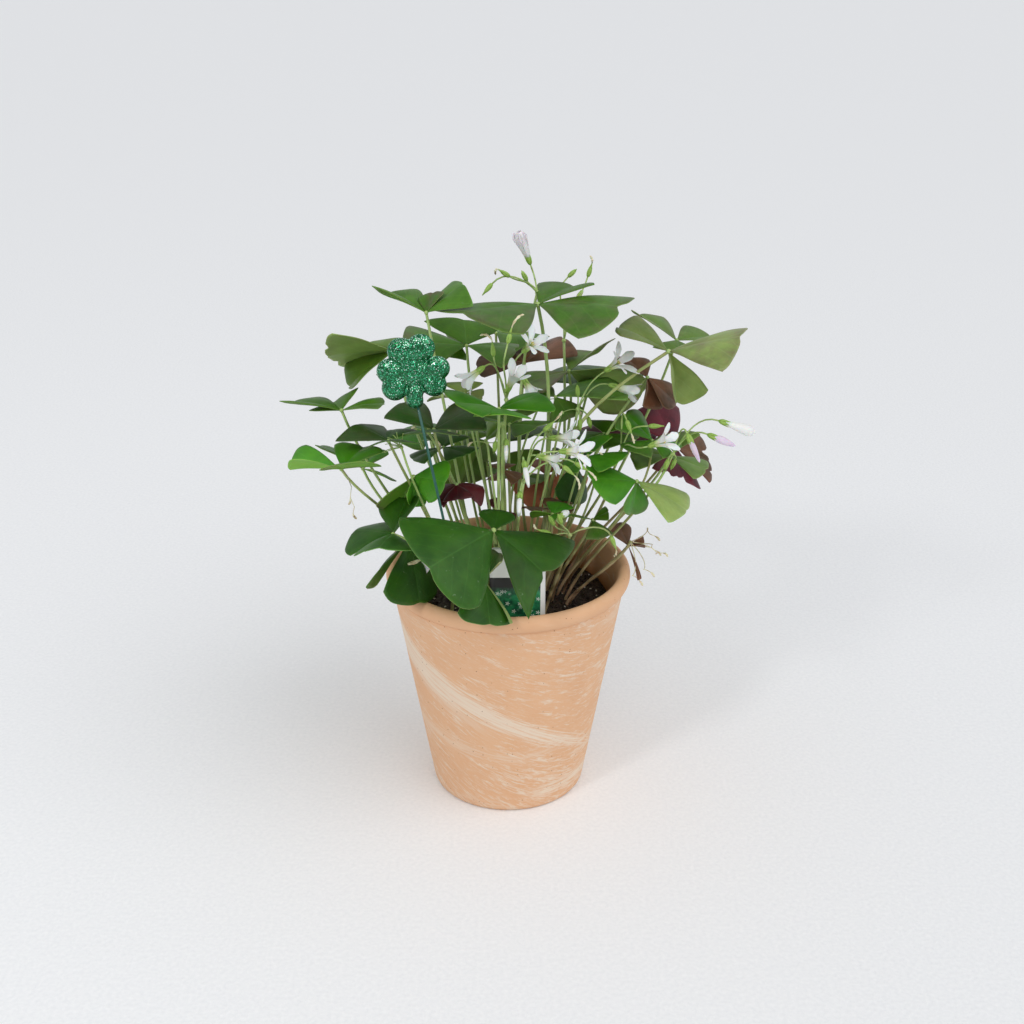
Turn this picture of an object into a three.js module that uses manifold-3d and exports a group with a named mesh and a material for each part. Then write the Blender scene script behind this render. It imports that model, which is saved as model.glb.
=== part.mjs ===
// A potted shamrock plant (Oxalis) in bloom: a thrown terracotta pot with marbled clay, potting
// soil, trifoliate leaves on thin petioles, umbels of small funnel flowers, a plastic plant label
// and a glittered shamrock on a wire. Millimetres, +Z up, origin at the middle of the pot's underside.
import * as THREE from 'three';
import { mergeVertices } from 'three/addons/utils/BufferGeometryUtils.js';
import Module from 'manifold-3d';

const wasm = await Module();
wasm.setup();

// ---- driving dimensions (mm) ----
const GAP = 0.3; // clearance between pieces that touch on the real plant

const POT_HEIGHT = 149.6;
const RIM_RADIUS = 75; // outside of the rolled lip
const MOUTH_RADIUS = 68.4; // inner edge of the lip
const NECK_RADIUS = 71.5; // the line under the lip
const NECK_HEIGHT = 139;
const FOOT_RADIUS = 48.4;
const POT_WALL = 6.4;
const FLOOR_THICKNESS = 8;
const DRAIN_RADIUS = 5;
const DRAIN_CIRCLE = 26; // the drain holes stand on this radius, off the centre
const DRAIN_COUNT = 3;
const POT_SIDES = 32;

const SOIL_EDGE_HEIGHT = 125;
const SOIL_CROWN_HEIGHT = 128;
const STEM_DEPTH = 10; // how deep each stem stands in the soil

const BLADE = 0.7; // leaf blade thickness
const LEAFLET_HALF_ANGLE = 46; // degrees, from midrib to the straight side
const DROOP = 0.1; // how far a leaflet's tip hangs, as a share of its length
const PETIOLE_RADIUS = 1.15;
const PEDUNCLE_RADIUS = 1.1;
const PEDICEL_RADIUS = 0.55;
const HUB_RADIUS = 2.2; // the small joint where three leaflets meet
const KNUCKLE_RADIUS = 1.9; // the joint where a spray's pedicels part
const STEM_SIDES = 4;
const STEM_STEPS = 5; // straight runs along a stem above the soil
const STEM_THINNING = 0.8; // a stem's radius at its tip, as a share of that at its foot
const STEM_REACH = 0.22; // how far out a stem has gone where it starts to bend
const STEM_LEAN = 0.18; // how far a stem leans back to its foot below its tip
const BEND_SHARE = 0.36; // a stem's bends lie this share of its rise from either end
const ROOT_PULL = 0.37; // a stem's foot, as a share of its tip's distance from the middle

const CALYX_LENGTH = 5.2;
const CALYX_RADIUS = 1.7;

const LABEL_WIDTH = 32;
const LABEL_TOP = 186;
const LABEL_BOTTOM = 98;
const LABEL_THICKNESS = 0.8;
const LABEL_SHOULDER = 24; // the card narrows from this height above its foot
const LABEL_POINT = [5, 8]; // half width and height of its blunt point
const LABEL_CENTRE = [5.5, -55];

const PICK_CENTRE = [-50.5, -60, 291];
const PICK_WIRE_RADIUS = 0.8;
const PICK_WIRE_TOP = [-49.4, -60, 277];
const PICK_WIRE_FOOT = [-24, -41, SOIL_EDGE_HEIGHT + 2 - STEM_DEPTH];

const DEGREE = Math.PI / 180;
const COLOURS = {
  terracotta: ['#dca884', 0.85],
  soil: ['#2a201b', 0.95],
  bright: ['#4e8a2a', 0.5],
  green: ['#3f7424', 0.5],
  dark: ['#2a5220', 0.45],
  olive: ['#6a8a44', 0.55],
  brown: ['#7a4a35', 0.55],
  purple: ['#6b2433', 0.5],
  stalk: ['#8fae55', 0.5],
  petal: ['#f0f0f4', 0.6],
  card: ['#f2f2ee', 0.4],
  wire: ['#0f4f4a', 0.4],
  glitter: ['#0f8a56', 0.3],
};

// ---- closed meshes and solids ----

/** A solid for joining and cutting, from corner points and triangles. */
function solidFrom(points, faces) {
  return new wasm.Manifold(new wasm.Mesh({
    numProp: 3,
    vertProperties: new Float32Array(points.flat()),
    triVerts: new Uint32Array(faces.flat()),
  }));
}

/** A solid from one of three.js's own closed geometries. */
function solidFromGeometry(geometry) {
  const bare = geometry.clone();
  bare.deleteAttribute('normal');
  bare.deleteAttribute('uv');
  const merged = mergeVertices(bare, 1e-4);
  return new wasm.Manifold(new wasm.Mesh({
    numProp: 3,
    vertProperties: new Float32Array(merged.attributes.position.array),
    triVerts: new Uint32Array(merged.index.array),
  }));
}

/** A three.js geometry from a solid. */
function geometryFrom(solid) {
  const mesh = solid.getMesh();
  const geometry = new THREE.BufferGeometry();
  geometry.setAttribute('position', new THREE.BufferAttribute(new Float32Array(mesh.vertProperties), 3));
  geometry.setIndex(new THREE.BufferAttribute(new Uint32Array(mesh.triVerts), 1));
  geometry.computeVertexNormals();
  return geometry;
}

const fuse = (solids) => solids.reduce((whole, piece) => whole.add(piece));

const plant = new THREE.Group();

/** Adds one named piece in one of the colours above. */
function addPiece(name, geometry, colour) {
  const [hex, roughness] = COLOURS[colour];
  const material = new THREE.MeshStandardMaterial({ color: hex, roughness, metalness: 0 });
  material.name = colour;
  const mesh = new THREE.Mesh(geometry, material);
  mesh.name = name;
  plant.add(mesh);
}

/** A closed round stem through a list of points, with the radius at each point. */
function stemSolid(path, radii, sides) {
  const points = [];
  const faces = [];
  const side = new THREE.Vector3(1, 0, 0);
  path.forEach((centre, step) => {
    const ahead = path[Math.min(step + 1, path.length - 1)];
    const behind = path[Math.max(step - 1, 0)];
    const along = ahead.clone().sub(behind).normalize();
    side.sub(along.clone().multiplyScalar(side.dot(along))).normalize();
    const across = new THREE.Vector3().crossVectors(along, side);
    for (let k = 0; k < sides; k += 1) {
      const turn = (2 * Math.PI * k) / sides;
      const point = centre.clone();
      point.addScaledVector(side, radii[step] * Math.cos(turn));
      point.addScaledVector(across, radii[step] * Math.sin(turn));
      points.push(point.toArray());
    }
  });
  for (let step = 0; step < path.length - 1; step += 1) {
    for (let k = 0; k < sides; k += 1) {
      const next = (k + 1) % sides;
      const low = step * sides;
      const high = low + sides;
      faces.push([low + k, low + next, high + next], [low + k, high + next, high + k]);
    }
  }
  const last = (path.length - 1) * sides;
  for (let k = 1; k < sides - 1; k += 1) {
    faces.push([0, k + 1, k], [last, last + k, last + k + 1]);
  }
  return solidFrom(points, faces);
}

/** Radii for a stem that thins evenly from its foot to its tip. */
function taper(path, foot, tip) {
  return path.map((_, step) => foot + ((tip - foot) * step) / (path.length - 1));
}

/** Where a stem stands: its height at the soil's surface, which is a low crown. */
function soilHeight(x, y) {
  const share = Math.min(Math.hypot(x, y) / MOUTH_RADIUS, 1);
  return SOIL_CROWN_HEIGHT - (SOIL_CROWN_HEIGHT - SOIL_EDGE_HEIGHT) * share * share;
}

const stemFeet = []; // where the soil needs a hole, with the stem's radius

/** The line of a stem from deep in the soil, upright through its hole, then curving to its tip. */
function stemPath(tip, foot, radius, lean = STEM_LEAN) {
  const ground = soilHeight(foot[0], foot[1]);
  stemFeet.push([foot[0], foot[1], radius]);
  const top = new THREE.Vector3(...tip);
  const start = new THREE.Vector3(foot[0], foot[1], ground + 1);
  const rise = top.z - start.z;
  const lowBend = start.clone().lerp(top, STEM_REACH).setZ(start.z + BEND_SHARE * rise);
  const highBend = top.clone().lerp(start, lean).setZ(top.z - BEND_SHARE * rise);
  const curve = new THREE.CubicBezierCurve3(start, lowBend, highBend, top);
  return [new THREE.Vector3(foot[0], foot[1], ground - STEM_DEPTH), ...curve.getPoints(STEM_STEPS)];
}

// ---- pot ----
// One clay body: flat foot, straight flaring wall, a fine line and a rolled lip.
function outerRadius(height) {
  return FOOT_RADIUS + ((NECK_RADIUS - FOOT_RADIUS) * (height - 3)) / (NECK_HEIGHT - 3);
}

const potProfile = [
  [0, 0], [FOOT_RADIUS - 3.4, 0], [FOOT_RADIUS - 1, 0.9], [FOOT_RADIUS, 3],
  [outerRadius(70) + 0.4, 70], [NECK_RADIUS, NECK_HEIGHT - 1.2], [NECK_RADIUS + 0.1, NECK_HEIGHT],
  [RIM_RADIUS - 1.4, NECK_HEIGHT + 1.2], [RIM_RADIUS, NECK_HEIGHT + 5.5], [RIM_RADIUS - 1.2, POT_HEIGHT - 1],
  [RIM_RADIUS - 3.6, POT_HEIGHT], [MOUTH_RADIUS, POT_HEIGHT - 1.6], [NECK_RADIUS - POT_WALL + 1, NECK_HEIGHT],
  [outerRadius(SOIL_EDGE_HEIGHT) - POT_WALL, SOIL_EDGE_HEIGHT],
  [FOOT_RADIUS - POT_WALL, FLOOR_THICKNESS + 3], [FOOT_RADIUS - POT_WALL - 3, FLOOR_THICKNESS],
  [0, FLOOR_THICKNESS],
].map(([radius, height]) => new THREE.Vector2(radius, height));

let potSolid = solidFromGeometry(new THREE.LatheGeometry(potProfile, POT_SIDES).rotateX(Math.PI / 2));
for (let k = 0; k < DRAIN_COUNT; k += 1) {
  const turn = (2 * Math.PI * k) / DRAIN_COUNT;
  const drain = new THREE.CylinderGeometry(DRAIN_RADIUS, DRAIN_RADIUS, 4 * FLOOR_THICKNESS, 12);
  drain.rotateX(Math.PI / 2);
  drain.translate(DRAIN_CIRCLE * Math.cos(turn), DRAIN_CIRCLE * Math.sin(turn), 0);
  potSolid = potSolid.subtract(solidFromGeometry(drain));
}
addPiece('pot', geometryFrom(potSolid), 'terracotta');

// ---- leaves ----
// A leaflet is a wedge with a notched far edge, folded along its midrib and a little arched.
// The columns run from one side to the other: share of the half angle, share of the length.
const WIDE_EDGE = [[-1, 0.86], [-0.84, 1], [-0.42, 0.95], [0, 0.85], [0.42, 0.95], [0.84, 1], [1, 0.86]];
const SMALL_EDGE = [[-1, 0.88], [-0.66, 1], [0, 0.86], [0.66, 1], [1, 0.88]];
const SMALL_LEAFLET = 31; // shorter leaflets get the plainer edge
const ARCHED_LEAFLET = 40; // longer leaflets get a row of points halfway, for their arch

/** A leaflet's solid at its hub: heading, rise and roll in degrees, length, fold in degrees. */
function leafletSolid(hub, [heading, rise, roll, length, fold]) {
  const midrib = new THREE.Vector3(
    Math.cos(rise * DEGREE) * Math.cos(heading * DEGREE),
    Math.cos(rise * DEGREE) * Math.sin(heading * DEGREE),
    Math.sin(rise * DEGREE),
  );
  const across = new THREE.Vector3(-Math.sin(heading * DEGREE), Math.cos(heading * DEGREE), 0);
  across.applyAxisAngle(midrib, roll * DEGREE);
  const normal = new THREE.Vector3().crossVectors(midrib, across);
  const edge = length < SMALL_LEAFLET ? SMALL_EDGE : WIDE_EDGE;
  const reaches = length < ARCHED_LEAFLET ? [1] : [0.5, 1];

  const placed = (angle, reach, lift) => {
    const along = reach * Math.cos(angle);
    const aside = reach * Math.sin(angle);
    const height = Math.abs(aside) * Math.sin(fold * DEGREE) - (DROOP * along * along) / length;
    const point = hub.clone();
    point.addScaledVector(midrib, along);
    point.addScaledVector(across, aside * Math.cos(fold * DEGREE));
    point.addScaledVector(normal, height + lift);
    return point.toArray();
  };

  const columns = edge.length;
  const layer = 1 + reaches.length * columns;
  const points = [];
  for (const lift of [BLADE / 2, -BLADE / 2]) {
    points.push(placed(0, BLADE, lift));
    for (const reach of reaches) {
      for (const [side, share] of edge) {
        points.push(placed(side * LEAFLET_HALF_ANGLE * DEGREE, reach * share * length, lift));
      }
    }
  }
  const top = [];
  const arched = reaches.length > 1;
  for (let k = 0; k < columns - 1; k += 1) {
    const near = 1 + k;
    const far = near + columns;
    top.push([0, near, near + 1]);
    if (arched && k < (columns - 1) / 2) top.push([near, far, far + 1], [near, far + 1, near + 1]);
    if (arched && k >= (columns - 1) / 2) top.push([near, far, near + 1], [near + 1, far, far + 1]);
  }
  const edgeStart = layer - columns;
  const outline = [0];
  if (arched) outline.push(1);
  for (let k = 0; k < columns; k += 1) outline.push(edgeStart + k);
  if (arched) outline.push(columns);
  const faces = [...top, ...top.map(([a, b, c]) => [a + layer, c + layer, b + layer])];
  outline.forEach((point, k) => {
    const next = outline[(k + 1) % outline.length];
    faces.push([point, point + layer, next + layer], [point, next + layer, next]);
  });
  return solidFrom(points, faces);
}

/** One whole leaf: petiole, hub and its leaflets in one body. */
function leafSolid({ hub, foot, petiole = PETIOLE_RADIUS, lean, leaflets }) {
  const centre = new THREE.Vector3(...hub);
  const standing = foot ?? [ROOT_PULL * hub[0], ROOT_PULL * hub[1]];
  const joint = new THREE.OctahedronGeometry(HUB_RADIUS, 0).translate(...hub);
  const path = stemPath(hub, standing, petiole, lean);
  return fuse([
    solidFromGeometry(joint),
    stemSolid(path, taper(path, petiole, STEM_THINNING * petiole), STEM_SIDES),
    ...leaflets.map((leaflet) => leafletSolid(centre, leaflet)),
  ]);
}

// Every leaf by name: colour, hub, foot of its petiole where it stands off the rule, and its
// leaflets as [heading, rise, roll, length, fold].
const LEAVES = {
  top_left: { colour: 'green', hub: [-46, -8, 310],
    leaflets: [[145, 15, 15, 36, 20], [15, 40, 5, 31, -10], [70, 45, -25, 22, 10]] },
  top_centre: { colour: 'green', hub: [17, 6, 311], petiole: 1.5,
    leaflets: [[-142, 9, 0, 62, -14], [-25, 10, 0, 60, -12], [45, 15, -10, 36, 10]] },
  upper_centre: { colour: 'green', hub: [-25, 36, 277], foot: [-6, 8],
    leaflets: [[-145, 15, -10, 38, -10], [95, 30, 10, 37, -10], [-10, 5, 0, 34, -10]] },
  upper_left: { colour: 'olive', hub: [-68, 26, 277],
    leaflets: [[180, 0, 35, 48, 5], [-165, -33, 5, 42, 15], [80, 5, 5, 30, -10]] },
  far_left: { colour: 'green', hub: [-95, -20, 256],
    leaflets: [[160, 5, 15, 38, 10], [8, 12, -10, 30, 5], [110, 0, -20, 24, 10]] },
  left_dark: { colour: 'dark', hub: [-67, -40, 245], foot: [-25, -35],
    leaflets: [[140, 15, 5, 30, -15], [88, 3, -10, 24, -10], [-85, 25, 5, 26, -10]] },
  left_bright: { colour: 'bright', hub: [-93, -50, 232], foot: [-34, -22],
    leaflets: [[180, 5, 10, 35, 30], [60, 20, -5, 28, 10], [-65, 35, -5, 29, -10]] },
  left_small: { colour: 'bright', hub: [-88, 12, 207],
    leaflets: [[160, 25, 25, 36, 5], [-20, -10, -30, 24, 5], [60, 30, -15, 20, 0]] },
  lower_left: { colour: 'dark', hub: [-65, -54, 194], foot: [-16, -15], lean: 0.6,
    leaflets: [[190, 5, -10, 30, -20], [-103, 15, 10, 28, -15], [72, 8, -15, 17, 15]] },
  over_rim_left: { colour: 'dark', hub: [-58, -42, 184],
    leaflets: [[-60, -55, -30, 38, -10], [-165, -50, 0, 42, 60]] },
  front: { colour: 'dark', hub: [-8, -60, 199], petiole: 1.5, lean: 0.55,
    leaflets: [[-125, 0, -40, 55, -10], [-15, -20, 15, 56, -12], [75, 0, -5, 30, 10]] },
  on_rim: { colour: 'dark', hub: [-14, -70, 173], foot: [-15, -49],
    leaflets: [[-75, -38, -25, 27, -12], [-5, 25, -40, 16, 5]] },
  middle_left: { colour: 'dark', hub: [-42, -30, 248],
    leaflets: [[145, 35, 5, 30, -10], [25, 25, 5, 32, -8], [-92, 20, 0, 24, -5]] },
  middle: { colour: 'bright', hub: [-5, -40, 264],
    leaflets: [[-150, 15, 0, 34, 15], [30, 15, -5, 32, -15], [-82, 20, -5, 26, -5]] },
  middle_under: { colour: 'green', hub: [1, 0, 240],
    leaflets: [[-40, 15, 0, 27, -5], [165, 15, 10, 24, 5], [80, 15, -10, 20, 0]] },
  top_right: { colour: 'green', hub: [92, -4, 286], petiole: 1.5,
    leaflets: [[-20, 20, 5, 52, -8], [160, 25, 5, 40, 10], [-70, -55, -35, 35, 30]] },
  top_right_back: { colour: 'olive', hub: [102, 44, 278],
    leaflets: [[140, 25, 20, 36, 10], [30, 0, 0, 32, 10], [-90, 0, -10, 24, 0]] },
  mid_right: { colour: 'olive', hub: [37, 42, 259], foot: [16, 26],
    leaflets: [[200, -5, 5, 27, 0], [0, -25, -55, 48, -8], [50, 15, -25, 36, 20]] },
  brown_back: { colour: 'brown', hub: [10, 64, 257],
    leaflets: [[180, 0, 35, 37, 0], [25, 30, -5, 37, -10], [105, 10, 0, 30, 0]] },
  brown_right: { colour: 'brown', hub: [82, 12, 265],
    leaflets: [[-15, -35, 5, 26, 5], [125, 25, 15, 24, 10], [-100, -50, -70, 22, 35]] },
  purple_right: { colour: 'purple', hub: [104, 46, 209], foot: [36, 25],
    leaflets: [[125, 50, 5, 36, -8], [15, -25, 25, 34, 5], [-80, -30, -35, 33, -8]] },
  right_bright: { colour: 'bright', hub: [75, -22, 213], foot: [30, -2],
    leaflets: [[-155, 10, -10, 30, -8], [-20, -20, -5, 36, 0], [-105, -75, -80, 26, 25]] },
  inner_right: { colour: 'bright', hub: [47, -10, 224], foot: [20, -9],
    leaflets: [[-36, 10, 5, 25, -5], [70, 30, -25, 20, 0], [-160, -20, 5, 18, 0]] },
  right_olive: { colour: 'olive', hub: [97, 10, 216], foot: [36, 12],
    leaflets: [[180, 10, -5, 29, -5], [-20, -10, -5, 29, 0], [70, 30, -20, 24, 0]] },
  hanging_dark: { colour: 'dark', hub: [40, 16, 210],
    leaflets: [[-80, -55, -10, 20, -10], [165, 30, 10, 18, 0], [30, 40, -20, 18, 0]] },
  inner_olive: { colour: 'olive', hub: [7, 25, 197],
    leaflets: [[-30, 5, -5, 20, 0], [-175, 15, 5, 20, 0], [95, 40, -20, 22, 0]] },
  low_green: { colour: 'bright', hub: [-54, -34, 221],
    leaflets: [[-30, 5, 40, 23, -5], [150, -40, 20, 26, 10], [-90, -55, -65, 20, 20]] },
  inner_left: { colour: 'olive', hub: [-14, 44, 213],
    leaflets: [[170, -30, -25, 32, -5], [-80, -50, -40, 16, 5], [45, 30, -10, 26, 0]] },
  low_right: { colour: 'green', hub: [50, -19, 187], foot: [27, -9],
    leaflets: [[200, 25, 15, 18, 0], [0, 35, 5, 13, 0], [-60, -40, -5, 15, 0]] },
  rim_right: { colour: 'brown', hub: [73, -4, 163], foot: [36, -12],
    leaflets: [[125, 50, 15, 14, 0], [-30, -42, -30, 24, 30], [15, 20, -10, 16, 0]] },
  back_left: { colour: 'green', hub: [-62, 72, 262],
    leaflets: [[150, 5, 0, 40, -12], [30, 10, 0, 38, -10], [-85, 0, 5, 34, -10]] },
  back_centre: { colour: 'green', hub: [-8, 92, 268],
    leaflets: [[190, 10, 5, 38, -10], [80, -10, 0, 42, -12], [-35, 8, 0, 36, -10]] },
  back_right: { colour: 'dark', hub: [54, 92, 242],
    leaflets: [[115, -5, 0, 40, -10], [-5, 0, 5, 40, -12], [-125, 5, 0, 34, -8]] },
  back_low_left: { colour: 'bright', hub: [-52, 84, 206],
    leaflets: [[110, -10, 0, 36, -10], [5, 0, 5, 34, -10], [-138, 0, 0, 30, -8]] },
  back_low_centre: { colour: 'dark', hub: [8, 100, 204],
    leaflets: [[165, 0, 0, 36, -10], [50, -15, 0, 38, -12], [-70, 5, 0, 32, -8]] },
  back_low_right: { colour: 'purple', hub: [70, 74, 214],
    leaflets: [[95, -15, 0, 36, -10], [-20, -5, 0, 32, -10], [-120, 5, 0, 30, -8]] },
};

for (const [name, leaf] of Object.entries(LEAVES)) {
  addPiece(`leaf_${name}`, geometryFrom(leafSolid(leaf)), leaf.colour);
}

// Two small young purple leaves rise from one bulb and share its neck.
const YOUNG_FOOT = [-8, -6];
const youngLeaves = [
  { hub: [-30, -8, 204], foot: YOUNG_FOOT, petiole: 0.9,
    leaflets: [[175, -20, -15, 15, -20], [-95, 0, 20, 15, -10], [10, 0, 0, 17, -15]] },
  { hub: [-3, -6, 186], foot: YOUNG_FOOT, petiole: 0.9,
    leaflets: [[145, 45, 15, 13, 0], [-150, -15, 0, 10, 0], [-5, -15, -5, 10, 0]] },
].map(leafSolid);
addPiece('leaf_low_purple_pair', geometryFrom(fuse(youngLeaves)), 'purple');

// ---- flower sprays ----
// A spray is one peduncle with a knuckle on top, from which thin pedicels arch to a calyx each.
// Buds and seed pods stay closed and green; open flowers get a corolla of their own below.

/** A unit vector from a heading and a rise in degrees. */
function direction(heading, rise) {
  return new THREE.Vector3(
    Math.cos(rise * DEGREE) * Math.cos(heading * DEGREE),
    Math.cos(rise * DEGREE) * Math.sin(heading * DEGREE),
    Math.sin(rise * DEGREE),
  );
}

// How thick a calyx, bud or pod is along its length, as shares of the calyx radius.
const CALYX_SHAPE = [0.35, 0.95, 1, 0.8];
const BUD_SHAPE = [0.35, 1, 0.8, 0.25];
const LONG_BUD_SHAPE = [0.35, 0.95, 0.9, 1.1, 0.35];
const PEDICEL_STEPS = 4;
const PEDICEL_ARCH = 0.25; // how high a pedicel arches, as a share of its reach
const PEDICEL_NOD = 0.35; // how far back from its flower it starts to turn, as a share of its reach
const HEADS = {
  open: { length: CALYX_LENGTH, shape: CALYX_SHAPE },
  bud: { length: 7, shape: BUD_SHAPE },
  pod: { length: 8, shape: BUD_SHAPE },
  long: { length: 17, shape: LONG_BUD_SHAPE },
};

/** One pedicel that arches from the knuckle to a flower, with its calyx, bud or pod. */
function pedicelSolid(knuckle, [kind, at, heading, rise]) {
  const base = new THREE.Vector3(...at);
  const along = direction(heading, rise);
  const reach = base.distanceTo(knuckle);
  const away = knuckle.clone().lerp(base, 0.3);
  away.z += PEDICEL_ARCH * reach;
  const bend = base.clone().addScaledVector(along, -PEDICEL_NOD * reach);
  const arch = new THREE.CubicBezierCurve3(knuckle, away, bend, base);
  const { length, shape } = HEADS[kind];
  const path = arch.getPoints(PEDICEL_STEPS);
  const radii = path.map(() => PEDICEL_RADIUS);
  shape.slice(1).forEach((share, k) => {
    path.push(base.clone().addScaledVector(along, (length * (k + 1)) / (shape.length - 1)));
    radii.push(share * CALYX_RADIUS);
  });
  return stemSolid(path, radii, STEM_SIDES);
}

/** One spray's green body, with its closed buds. */
function spraySolid({ umbel, foot, flowers }) {
  const knuckle = new THREE.Vector3(...umbel);
  const standing = foot ?? [ROOT_PULL * umbel[0], ROOT_PULL * umbel[1]];
  const joint = new THREE.OctahedronGeometry(KNUCKLE_RADIUS, 0).translate(...umbel);
  const path = stemPath(umbel, standing, PEDUNCLE_RADIUS);
  return fuse([
    solidFromGeometry(joint),
    stemSolid(path, taper(path, PEDUNCLE_RADIUS, STEM_THINNING * PEDUNCLE_RADIUS), STEM_SIDES),
    ...flowers.map((flower) => pedicelSolid(knuckle, flower)),
  ]);
}

// Each flower: kind, where its calyx starts, heading and rise; open ones add the corolla's name,
// its length and how wide it opens, from 0 (a tube) to 1 (flat).
const SPRAYS = {
  centre: { umbel: [-3, -16, 260], flowers: [
    ['open', [-13, -22, 283], -159, -33, 'left', 14, 0.4],
    ['open', [-1, -24, 268], -39, 61, 'cup', 16, 0.35],
    ['open', [7, -22, 291], -69, 40, 'star', 10, 1],
    ['open', [8, -3, 271], -20, -57, 'right', 10, 0.45],
    ['pod', [-8, -20, 288], 180, 85], ['pod', [0, -18, 292], 0, 75]] },
  mid_right: { umbel: [41, 4, 248], foot: [16, -2], flowers: [
    ['open', [56, 2, 272], -28, 38, 'upper_right', 16, 0.7],
    ['open', [59, 8, 262], -12, -13, 'tube_right', 15, 0.15],
    ['bud', [41, 4, 256], 180, 85], ['bud', [42, -2, 244], -85, -75],
    ['bud', [47, 2, 244], 0, -75]] },
  front: { umbel: [9, -34, 218], flowers: [
    ['open', [16, -34, 234], -15, -10, 'front_low', 14, 0.7],
    ['open', [23, -20, 239], -15, 7, 'front_high', 15, 0.5],
    ['open', [28, -56, 245], -25, 10, 'front_right', 16, 0.7],
    ['pod', [20, -32, 248], 10, 41], ['long', [9, -42, 234], -50, -74]] },
  right: { umbel: [96, -14, 227], flowers: [
    ['long', [121, -18, 249], -7, -10], ['long', [114, -24, 243], -17, -16],
    ['long', [102, -28, 245], -29, -62], ['bud', [93, -18, 225], -147, -70],
    ['bud', [98, -12, 223], 180, -70]] },
  inner_right: { umbel: [67, 4, 221], foot: [24, 6], flowers: [
    ['open', [80, -28, 237], -28, 27, 'right_low', 15, 0.5],
    ['pod', [81, -16, 245], 0, 0], ['pod', [68, -20, 250], 0, -70]] },
  hanging: { umbel: [-3, -26, 250], flowers: [
    ['long', [-1, -31, 243], -91, -78], ['bud', [-7, -27, 240], -121, -75]] },
  top: { umbel: [14, 24, 309], flowers: [
    ['long', [13, 26, 329], -146, 68], ['bud', [11, 20, 321], -154, 61],
    ['pod', [1, 14, 325], -156, 35], ['pod', [-9, 10, 322], -145, -40]] },
  back: { umbel: [35, 50, 276], foot: [18, 31], flowers: [
    ['bud', [36, 52, 315], -16, 45], ['bud', [48, 56, 314], 0, 74], ['bud', [42, 64, 298], 29, 51]] },
};

for (const [name, spray] of Object.entries(SPRAYS)) {
  addPiece(`spray_${name}`, geometryFrom(spraySolid(spray)), 'stalk');
}

// ---- open corollas ----
// Five petals that join in a funnel below and stand free above, one body with an inner and an
// outer skin. Each row gives its share of the length and the half width of a petal there.
const PETAL_COUNT = 5;
const PETAL_ROWS = [[0, 0.55], [0.45, 1.3], [0.8, 2.7], [1, 1.5]];
const FUNNEL_ROW = 1; // petals are joined up to this row
const BASE_RADIUS = 1.35;
const FUNNEL_FLARE = 0.14; // how much even a closed corolla widens, per length
const OPEN_FLARE = 0.7; // how much more a flat open one widens at its rim, per length
const OPEN_SINK = 0.35; // how much lower a flat open one stands, per length
const OPEN_LEAN = 75; // degrees that its petals' tips lean out

/** A whole corolla in its calyx, from a narrow tube to a flat star as opening goes from 0 to 1. */
function corollaSolid([, at, heading, rise, , length, opening]) {
  const along = direction(heading, rise);
  const base = new THREE.Vector3(...at).addScaledVector(along, CALYX_LENGTH + GAP);
  const side = new THREE.Vector3(0, 0, 1).cross(along).normalize();
  const points = [];
  for (const depth of [0, BLADE]) {
    for (const [share, half] of PETAL_ROWS) {
      const lean = OPEN_LEAN * DEGREE * opening * share;
      const spread = BASE_RADIUS + length * (FUNNEL_FLARE * share + OPEN_FLARE * opening * share ** 3);
      const height = length * share * (1 - OPEN_SINK * opening * share);
      const sunk = share === 0 ? depth : depth * Math.sin(lean);
      for (let k = 0; k < PETAL_COUNT; k += 1) {
        const outward = side.clone().applyAxisAngle(along, (2 * Math.PI * k) / PETAL_COUNT);
        const wide = new THREE.Vector3().crossVectors(along, outward);
        for (const hand of [-1, 1]) {
          const point = base.clone();
          point.addScaledVector(along, height + sunk);
          point.addScaledVector(outward, spread - depth * Math.cos(lean));
          point.addScaledVector(wide, hand * half * (depth > 0 && share === 0 ? 0.5 : 1));
          points.push(point.toArray());
        }
      }
    }
  }
  const ring = 2 * PETAL_COUNT;
  const skin = PETAL_ROWS.length * ring;
  const faces = [];
  const quad = (a, b, c, d) => faces.push([a, b, c], [a, c, d]);
  for (let row = 0; row < PETAL_ROWS.length - 1; row += 1) {
    for (let k = 0; k < ring; k += 1) {
      const inPetal = k % 2 === 0;
      const low = row * ring + k;
      const lowNext = row * ring + ((k + 1) % ring);
      if (inPetal || row < FUNNEL_ROW) {
        quad(low, lowNext, lowNext + ring, low + ring);
        quad(low + skin, low + ring + skin, lowNext + ring + skin, lowNext + skin);
      }
      if (inPetal && row >= FUNNEL_ROW) {
        quad(low, low + ring, low + ring + skin, low + skin);
        quad(lowNext, lowNext + skin, lowNext + ring + skin, lowNext + ring);
      }
    }
  }
  for (let k = 0; k < ring; k += 1) {
    const row = k % 2 === 0 ? PETAL_ROWS.length - 1 : FUNNEL_ROW;
    const low = row * ring + k;
    const lowNext = row * ring + ((k + 1) % ring);
    quad(low, lowNext, lowNext + skin, low + skin);
  }
  for (let k = 1; k < ring - 1; k += 1) {
    faces.push([0, k + 1, k], [skin, skin + k, skin + k + 1]);
  }
  return solidFrom(points, faces);
}

for (const { flowers } of Object.values(SPRAYS)) {
  for (const flower of flowers.filter(([kind]) => kind === 'open')) {
    addPiece(`corolla_${flower[4]}`, geometryFrom(corollaSolid(flower)), 'petal');
  }
}

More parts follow.
